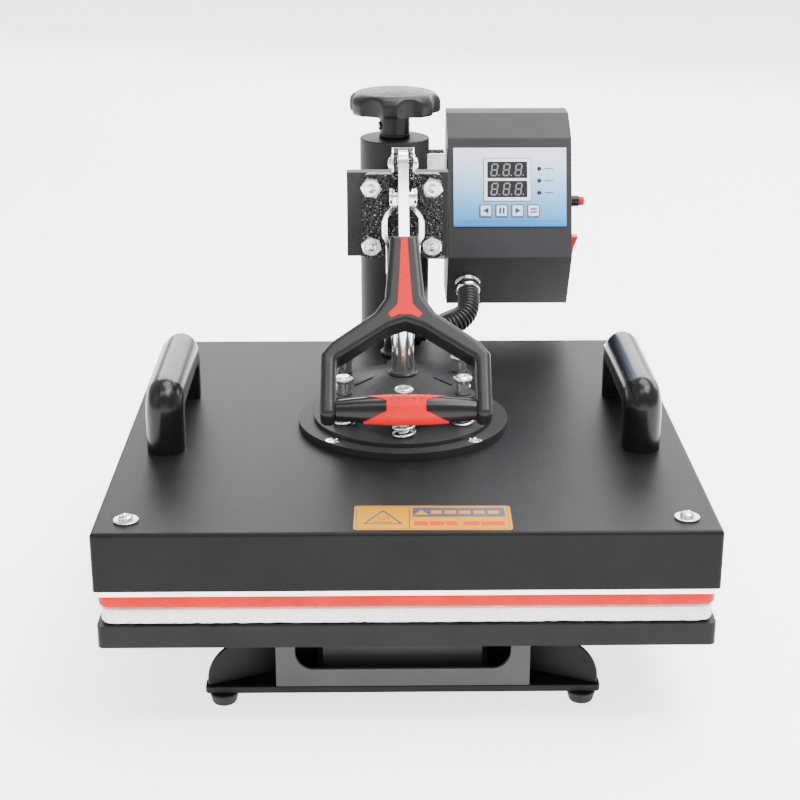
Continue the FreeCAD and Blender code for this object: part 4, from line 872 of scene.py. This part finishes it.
collar = Piece("plunger_collar")
collar.rings(turned([(7.9, 176.8), (10.2, 176.8), (10.2, 178.3), (9.2, 179.3),
                     (7.9, 179.3)], 0.3, 56), "matte_black", placed(0, PLATEN_Y, 0))
collar.done("heat_platen", "dark_steel")

# ---- pressure knob

KNOB_MIDDLE = Vector((-0.0034, 0.195, 0))
LOBES = 7
VALLEY_REACH, VALLEY_RADIUS = 48.5, 16


def smooth_low(a, b, blend):
    h = max(0, min(1, 0.5 + 0.5 * (b - a) / blend))
    return b * (1 - h) + a * h - blend * h * (1 - h)


def knob_reach(angle, reach):
    """Radius of the knob at an angle, scalloped by round valleys."""
    pitch = tau / LOBES
    off = (angle - radians(84) + pitch / 2) % pitch - pitch / 2
    across = VALLEY_REACH * sin(off)
    if abs(across) >= VALLEY_RADIUS:
        return reach
    valley = VALLEY_REACH * cos(off) - sqrt(VALLEY_RADIUS ** 2 - across ** 2)
    return smooth_low(reach, valley, 2.2)


knob_profile = [(13, 323.2), (27, 323.2), (27.5, 322), (36.2, 322), (37.2, 323),
                (37.5, 325), (37.5, 330)]
knob_profile += [(37.5 - 11.5 * (1 - cos(t)), 330 + 8.8 * sin(t))
                 for t in (radians(k * 9) for k in range(1, 11))]
knob_profile += [(26 * (1 - (k / 8) ** 1.2), 338.8 + 2.2 * sin(pi / 2 * k / 8))
                 for k in range(1, 9)]
knob = Piece("pressure_knob_lobed")
knob_rings = []
for reach, z in knob_profile:
    ring = []
    for k in range(280):
        angle = tau * k / 280
        r = max(knob_reach(angle, reach), 0.05)
        ring.append((r * cos(angle), r * sin(angle), z))
    knob_rings.append(ring)
knob.rings(knob_rings, "matte_black", placed(*KNOB_MIDDLE))
knob.rings(turned([(6.2, 301.4), (12.8, 301.4), (12.8, 304), (12.4, 304.6), (12.4, 323.6),
                   (6.2, 323.6)], 0.6, 64), "matte_black", placed(*KNOB_MIDDLE))
screw_turn = axis_frame(KNOB_MIDDLE + Vector((-0.0118, -0.0030, 0.3110)), (-1, -0.25, 0))
knob.rings(turned([(1.8, -1), (3.4, -1), (3.4, 1.2), (2.6, 1.4), (1.8, 1)],
                  0.3, 32), "matte_black", screw_turn)
knob.rings(screw_head(2.5, 0.0, 2, 0.6, 0.7), "chrome", screw_turn)
knob.done("knob", "matte_black", "pressure_knob")

# ---- grip and pivots

HANDLE = Matrix.Translation(UPPER_PIVOT) @ Matrix.Rotation(radians(44), 4, "X")
GRIP_HALF = 0.0445
GRIP_Y = -0.187
# Angle round the grip at which it faces the operator, measured from the handle's +Y.
FACING = radians(116)


def grip_radius(x):
    """Barrel radius: an arc from the ends to the middle."""
    return 0.0065 + 0.0030 * (1 - (x / GRIP_HALF) ** 2)


def red_zone(x, turn):
    """Which part of the red insert covers a point; turn is 0 facing the operator, + upwards."""
    reach = abs(x)
    up = degrees(turn)
    if reach < 0.0125 and -4 < up <= 40:
        return "window"
    if reach < 0.0255 and 40 + 44 * max(0, reach - 0.0125) / 0.0130 < up < 112:
        return "ribs"
    edge = -4 - 54 * (max(0, reach - 0.0125) / 0.0145) ** 1.25
    if reach < 0.0270 and -108 < up <= edge:
        return "smile"
    return None


def red_relief(zone, x, turn):
    if zone == "ribs":
        return 0.00015 + 0.00050 * (0.5 + 0.5 * cos(tau * x / 0.0013)) ** 0.7
    if zone == "window":
        border = abs(x) > 0.0113 or degrees(turn) < 2.5 or degrees(turn) > 34
        grid = cos(tau * x / 0.0011) * cos(turn * 42)
        return 0.00048 if border else 0.00010 + 0.00024 * max(0, grid)
    return 0.00030


COLUMNS, ROWS = 256, 112
grip = Piece("grip_barrel")
insert = Piece("grip_insert_ribbed")
grip_rings = []
for i in range(COLUMNS + 1):
    x = -GRIP_HALF + 2 * GRIP_HALF * i / COLUMNS
    r = grip_radius(x)
    grip_rings.append([(x, GRIP_Y + r * cos(tau * k / ROWS), r * sin(tau * k / ROWS))
                       for k in range(ROWS)])
grip.rings(grip_rings, "gloss_black", HANDLE)
grip.done("handle", "matte_black", "grip_bar")

red = insert.look("red_plastic")
red_points = {}
for i in range(COLUMNS):
    for k in range(ROWS):
        corners = []
        mid_x = -GRIP_HALF + 2 * GRIP_HALF * (i + 0.5) / COLUMNS
        mid_turn = remainder(FACING - tau * (k + 0.5) / ROWS, tau)
        zone = red_zone(mid_x, mid_turn)
        if not zone:
            continue
        for column, row in ((i, k), (i, k + 1), (i + 1, k + 1), (i + 1, k)):
            key = (column, row % ROWS)
            if key not in red_points:
                x = -GRIP_HALF + 2 * GRIP_HALF * column / COLUMNS
                angle = tau * row / ROWS
                turn = remainder(FACING - angle, tau)
                r = grip_radius(x) + red_relief(zone, x, turn)
                point = HANDLE @ Vector((x, GRIP_Y + r * cos(angle), r * sin(angle)))
                red_points[key] = insert.bm.verts.new(point)
            corners.append(red_points[key])
        face = insert.bm.faces.new(corners)
        face.material_index = red
        face.smooth = True
insert_obj = insert.done("handle", "red_plastic", "grip_insert")
thick = insert_obj.modifiers.new("thickness", "SOLIDIFY")
thick.thickness = 0.0011
thick.offset = -1

pivot_heads = Piece("upper_pivot_heads")
for side in (-1, 1):
    turn = axis_frame(UPPER_PIVOT + Vector((side * 0.0071, 0, 0)), (side, 0, 0))
    pivot_heads.rings(turned([(0.1, 0.0), (6.8, 0.0), (6.8, 0.9), (4.6, 1.1), (4.4, 2.2),
                              (3, 3), (0.1, 3.2)], 0.5, 48), "chrome", turn)
pivot_heads.done("swing_arm", "bright_chrome")

ears = Piece("clamp_ear_rims")


def ear_strip(x_low, x_high, inner, outer, start, end, look):
    """Curved strip about the upper pivot; angles run from the front up and over."""
    rings = []
    steps = 28
    for k in range(steps + 1):
        angle = radians(start + (end - start) * k / steps)
        y, z = -cos(angle), sin(angle)
        rings.append([(x, UPPER_PIVOT.y + r * y, UPPER_PIVOT.z + r * z)
                      for x, r in ((x_low, inner), (x_low, outer), (x_high, outer), (x_high, inner))])
    ears.rings(rings, look)


for side in (-1, 1):
    x_low, x_high = sorted((side * 0.0066, side * 0.0075))
    ear_strip(x_low, x_high, 0.0095, 0.0113, -38, 150, "bright_edge")
ear_strip(-0.0072, 0.0072, 0.0101, 0.0113, 121, 150, "hammered_painted_glints")
ear_strip(-0.0072, 0.0072, 0.0104, 0.0116, 115, 122, "bright_edge")
ears.done("swing_arm", "bright_chrome")

LINK_TOP = (0, PLATEN_Y, 0.305)
LINK_LENGTH, EYE, HALF_THICK = 52, 6, 1.8
TOP_X, BELLY_X, FOOT_X = 5.5, 12.8, 10
bends = [(TOP_X, EYE), (TOP_X, -5.5), (BELLY_X, -13), (BELLY_X, -26.5), (FOOT_X, -33),
         (FOOT_X, -LINK_LENGTH - EYE)]
top_eye = [Vector((TOP_X, EYE - EYE * 2 * k / 12)) for k in range(12)]
foot_eye = [Vector((FOOT_X, EYE - LINK_LENGTH - EYE * 2 * k / 12)) for k in range(13)]
shank = [point for point in rounded(bends, 4.5, 10) if -6.2 > point.y > EYE - LINK_LENGTH]
link_line = top_eye + shank + foot_eye
links = Piece("lyre_links")
for side in (-1, 1):
    rings = []
    for k, point in enumerate(link_line):
        along = (link_line[min(k + 1, len(link_line) - 1)] - link_line[max(k - 1, 0)]).normalized()
        across = Vector((-along.y, along.x)) * HALF_THICK
        over = max(0, point.y, -LINK_LENGTH - point.y)
        half = sqrt(max(0.4 ** 2, EYE ** 2 - over ** 2))
        soft = min(0.5, half * 0.4)
        section = [(-1, -half + soft), (-0.7, -half), (0.7, -half), (1, -half + soft),
                   (1, half - soft), (0.7, half), (-0.7, half), (-1, half - soft)]
        rings.append([(side * (point.x + across.x * u), v, point.y + across.y * u) for u, v in section])
    links.rings(rings, "chrome", placed(*LINK_TOP))
links.done("links", "bright_chrome", "toggle_links")

# ---- side handles


def arch_lines():
    """Matching points of the arch's outer and inner lines, as (y, z)."""
    outer, inner = [], []
    for k in range(5):
        outer.append((-110, 140 + 31 * k / 5))
        inner.append((-88, 140 + 20 * k / 5))
    for k in range(13):
        t = radians(90 * k / 12)
        outer.append((-91 - 19 * cos(t), 171 + 19 * sin(t)))
        inner.append((-80 - 8 * cos(t), 160 + 8 * sin(t)))
    for k in range(1, 8):
        outer.append((-91 + 100 * k / 8, 190))
        inner.append((-80 + 78 * k / 8, 168))
    mirror = list(zip(outer[:18], inner[:18]))
    for (outer_y, outer_z), (inner_y, inner_z) in reversed(mirror):
        outer.append((-82 - outer_y, outer_z))
        inner.append((-82 - inner_y, inner_z))
    return list(zip(outer, inner))


ARCH_X, HALF_WIDE = 0.164, 13
SHOULDER = 0.40
section = [(cos(radians(a)), SHOULDER + (1 - SHOULDER) * sin(radians(a)))
           for a in range(0, 181, 9)]
section += [(-1, 0.16), (-0.97, 0.06), (-0.88, 0.0), (0.88, 0.0), (0.97, 0.06), (1, 0.16)]
arches = Piece("side_handle_arches")
for side in (-1, 1):
    rings = []
    for (outer_y, outer_z), (inner_y, inner_z) in arch_lines():
        rings.append([(HALF_WIDE * u, inner_y + (outer_y - inner_y) * v, inner_z + (outer_z - inner_z) * v)
                      for u, v in section])
    arches.rings(rings, "gloss_black", placed(side * ARCH_X, 0, 0))
arches.done("heat_platen", "gloss_black", "side_handles")

# ---- panel, display and keys

PANEL_X = 0.09005
PANEL = placed(PANEL_X, FOLD_LOW.y, FOLD_LOW.z, Matrix.Rotation(radians(69.72), 4, "X"))


def flat_print(piece, outline, low, high, look, matrix=PANEL):
    """A thin printed shape lying on the panel."""
    outline = [Vector(point).to_2d() for point in outline]
    piece.rings([[(x, y, low) for x, y in outline], [(x, y, high) for x, y in outline]], look, matrix)


def bar(x_range, y_range, corner=0.2):
    width, height = x_range[1] - x_range[0], y_range[1] - y_range[0]
    return shifted(rectangle(width, height, corner, 2), sum(x_range) / 2, sum(y_range) / 2)


display = Piece("display_frame")
DISPLAY_X = (-21, 17)
DISPLAY_Y = (46.7, 80.9)
WINDOW_X = (-18.45, 14.15)
WINDOWS = ((65.1, 78.5), (49.5, 62.9))
flat_print(display, bar((DISPLAY_X[0] - 0.4, DISPLAY_X[1] + 0.4),
                        (DISPLAY_Y[0] - 0.4, DISPLAY_Y[1] + 0.4)), 0.9, 1.12, "ink")
flat_print(display, bar(DISPLAY_X, DISPLAY_Y, 0.6), 1.12, 1.3, "frame_print")
for window in WINDOWS:
    flat_print(display, bar(WINDOW_X, window, 0.3), 1.3, 1.36, "window")
display.done("swing_arm", "overlay_film")

SEGMENTS = (("h", 0, 2), ("h", 0, 1), ("h", 0, 0), ("v", 0, 0), ("v", 1, 0), ("v", 0, 1), ("v", 1, 1))
DIGIT_W, DIGIT_H, STROKE = 4.6, 9.2, 1.1
SLANT = 0.14
digits = Piece("display_segments")


def segment_outline(kind, column, row):
    """Six-sided bar of a seven-segment digit, from its lower left corner."""
    half, gap = STROKE / 2, 0.18
    if kind == "h":
        y = row * DIGIT_H / 2
        line = [(gap, y), (gap + half, y - half), (DIGIT_W - gap - half, y - half), (DIGIT_W - gap, y),
                (DIGIT_W - gap - half, y + half), (gap + half, y + half)]
    else:
        x = column * DIGIT_W
        low, high = row * DIGIT_H / 2 + gap, (row + 1) * DIGIT_H / 2 - gap
        line = [(x, low), (x + half, low + half), (x + half, high - half), (x, high),
                (x - half, high - half), (x - half, low + half)]
    return line


for window in WINDOWS:
    base_y = sum(window) / 2 - DIGIT_H / 2
    for k in range(3):
        base_x = -15.5 + k * 9.8
        for segment in SEGMENTS:
            outline = [(base_x + x + SLANT * y, base_y + y) for x, y in segment_outline(*segment)]
            flat_print(digits, outline, 1.34, 1.41, "segment")
        dot = [(base_x + 6.8 + 0.6 * cos(a), base_y + 0.2 + 0.6 * sin(a))
               for a in (tau * i / 16 for i in range(16))]
        flat_print(digits, dot, 1.34, 1.41, "segment")
digits.done("swing_arm", "display_glass")

lamps = Piece("panel_lamps")
for up in (72.8, 63, 53.2):
    place = PANEL @ Matrix.Translation((23.95, up, 0.8))
    lamps.rings(turned([(0.1, -0.2), (1.8, -0.2), (1.8, 0.18), (1.3, 0.22), (1, 0.9),
                        (0.4, 1.1), (0.1, 1.1)], 0.1, 28), "window", place)
    flat_print(lamps, bar((28.3, 35.2), (up - 0.35, up + 0.35)), 0.7, 0.86, "ink")
lamps.done("swing_arm", "gloss_black")

lines = Piece("panel_lines")
for low, high in ((29.1, 29.5), (30.3, 30.7)):
    flat_print(lines, bar((-41.5, 41.5), (low, high), 0.05), 0.7, 0.86, "blue_ink")
lines.done("swing_arm", "overlay_film")

ICONS = {
    "key_down": [[(2.1, -2.5), (2.1, 2.5), (-2.4, 0.0)]],
    "key_mode": [bar((-2.2, -0.6), (-2.4, 2.4)), bar((0.6, 2.2), (-2.4, 2.4))],
    "key_up": [[(-2.1, -2.5), (2.4, 0.0), (-2.1, 2.5)]],
    "key_start": [bar((-2.6, 2.6), (0.6, 1.8)), bar((-2.6, 2.6), (-1.8, -0.6))],
}
KEY_UP = 38.6
for name, icon in ICONS.items():
    low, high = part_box(name)
    key_x = ((low.x + high.x) / 2 - PANEL_X) / MM
    place = PANEL @ Matrix.Translation((key_x, KEY_UP, 1.7))
    legend = Piece(name + "_legend")
    legend.rings(hoop(rectangle(9.9, 9.9, 1), rectangle(8.6, 8.6, 0.8), -0.1, 0.12),
                 "ink", place, caps=False)
    for outline in icon:
        flat_print(legend, outline, -0.1, 0.12, "ink", place)
    legend.done(name + "_body", "key_film")
    dress(name, "key_face", 0.5)

fuse = Piece("fuse_cap_red")
fuse_low, fuse_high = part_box("fuse_holder")
fuse.rings(turned([(0.1, 0.0), (3.7, 0.0), (3.7, 3.8), (3, 4.4), (0.8, 4.4), (0.8, 3.6),
                   (0.1, 3.6)], 0.4, 60, knurl(20, 0.06, 0.5, 3.6)), "red_plastic",
           axis_frame((fuse_high.x - 0.0040, (fuse_low.y + fuse_high.y) / 2, (fuse_low.z + fuse_high.z) / 2),
                      (1, 0, 0)))
fuse.done("swing_arm", "red_plastic")

# ---- label on the platen

label = Piece("platen_warning_label")
label_low, label_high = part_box("platen_label")
LABEL = placed((label_low.x + label_high.x) / 2, (label_low.y + label_high.y) / 2, label_low.z,
               Matrix.Rotation(radians(-0.7), 4, "Z"))


def printed(outline, look, level=1):
    flat_print(label, outline, 0.18, 0.18 + 0.04 * level, look, LABEL)


def printed_hoop(outer, inner, look):
    label.rings(hoop(outer, inner, 0.16, 0.24), look, LABEL, caps=False)


def triangle(radius, x, y):
    return [Vector((x + radius * cos(a), y + radius * sin(a)))
            for a in (radians(90 + 120 * k) for k in range(3))]


label.rings(slab(rectangle(98.5, 37.5, 3, 6), 0.0, 0.2, 0.08), "label_yellow", LABEL)
printed_hoop(rectangle(95.5, 34.5, 2.2), rectangle(94.5, 33.5, 1.8), "ink")
printed(bar((-14.8, -14.2), (-16.8, 16.8), 0.1), "ink")
printed_hoop(rounded(triangle(15, -31, -2.6), 2, 4, True),
             rounded(triangle(11.8, -31, -2.6), 0.8, 4, True), "ink")
printed(bar((-36.5, -25.5), (-7.4, -5.8)), "ink")
for k in range(3):
    wave = [(-33.8 + 2.8 * k + 0.5 * sin(i * 1.1), -4 + 1 * i) for i in range(7)]
    wave += [(x + 0.9, y) for x, y in reversed(wave)]
    printed(wave, "label_red")
printed(bar((-12.5, 45.5), (1.2, 15.5), 1), "ink")
printed(triangle(5, -7, 7), "label_yellow", 2)
for start, end in ((-1, 6), (7.8, 15), (16.8, 24), (25.8, 33), (34.8, 42)):
    printed(bar((start, end), (5.8, 11), 0.4), "label_yellow", 2)
for start, end in ((-11.5, -3), (-1.8, 7.2), (8.4, 15), (19, 29), (30.2, 44.5)):
    printed(bar((start, end), (-11.8, -5.8), 0.4), "label_red")
label.done("heat_platen", "label_yellow", "platen_label")

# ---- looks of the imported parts

for name, look, bevel in (
        ("base_plate", "base_coat", 0.8), ("front_support_panel", "panel_coat_painted_light", 0.6),
        ("base_wings", "base_coat", 0.8), ("support_channel", "panel_coat_painted_light", 0.8),
        ("rubber_feet", "rubber", 1.2), ("column_post", "dark_steel", 0.8),
        ("column_gussets", "base_coat", 0.6), ("lower_tray", "tray_coat", 1.2),
        ("tray_bolts", "zinc", 0.4), ("swing_sleeve", "black_coat", 1),
        ("arm_side_plates", "black_coat", 0.8), ("arm_end_plate", "end_plate", 1),
        ("toggle_body", "hammered_painted_glints", 1.2), ("upper_pivot_pin", "chrome", 0),
        ("box_bracket", "zinc", 0.5), ("box_shell", "box_coat_painted_fill", 0.5),
        ("box_back_cover", "box_coat_painted_fill", 0.6), ("control_overlay", "overlay", 0.2),
        ("display_window", "window", 0.2), ("control_board", "board", 0.3),
        ("fuse_holder", "gloss_black", 0.5), ("switch_bezel", "gloss_black", 0.6),
        ("knob_spindle", "dark_steel", 0.5), ("toggle_lever", "bright_zinc", 0.7),
        ("handle_fork", "matte_black", 0), ("fork_inlay", "red_plastic", 0.2),
        ("lower_pivot_pin", "chrome", 0.6),
        ("plunger", "chrome", 0.3), ("spider_plate", "black_coat", 0.7),
        ("small_disc", "black_coat", 0.8), ("outer_disc", "black_coat", 0),
        ("platen_cover", "platen_coat", 0), ("heating_plate", "aluminium", 0.8),
        ("rocker_switch", "red_plastic", 0.9)):
    dress(name, look, bevel)

# ---- floor

floor_mesh = bpy.data.meshes.new("floor")
FLOOR_HALF = 28
corners = [(x * FLOOR_HALF, y * FLOOR_HALF, 0) for x, y in ((-1, -1), (1, -1), (1, 1), (-1, 1))]
floor_mesh.from_pydata(corners, [], [(0, 1, 2, 3)])
floor = added("floor", floor_mesh)
paper = Surface("floor_paper", Emission_Color=(1, 1, 1, 1), Emission_Strength=2.4)
paper.colours(paper.noise(3, 3), (0.3, (0.93, 0.93, 0.95)), (0.7, (0.97, 0.97, 0.98)))
paper.rough(paper.noise(40, 3), 0.85, 0.95)
floor_mesh.materials.append(paper.material)
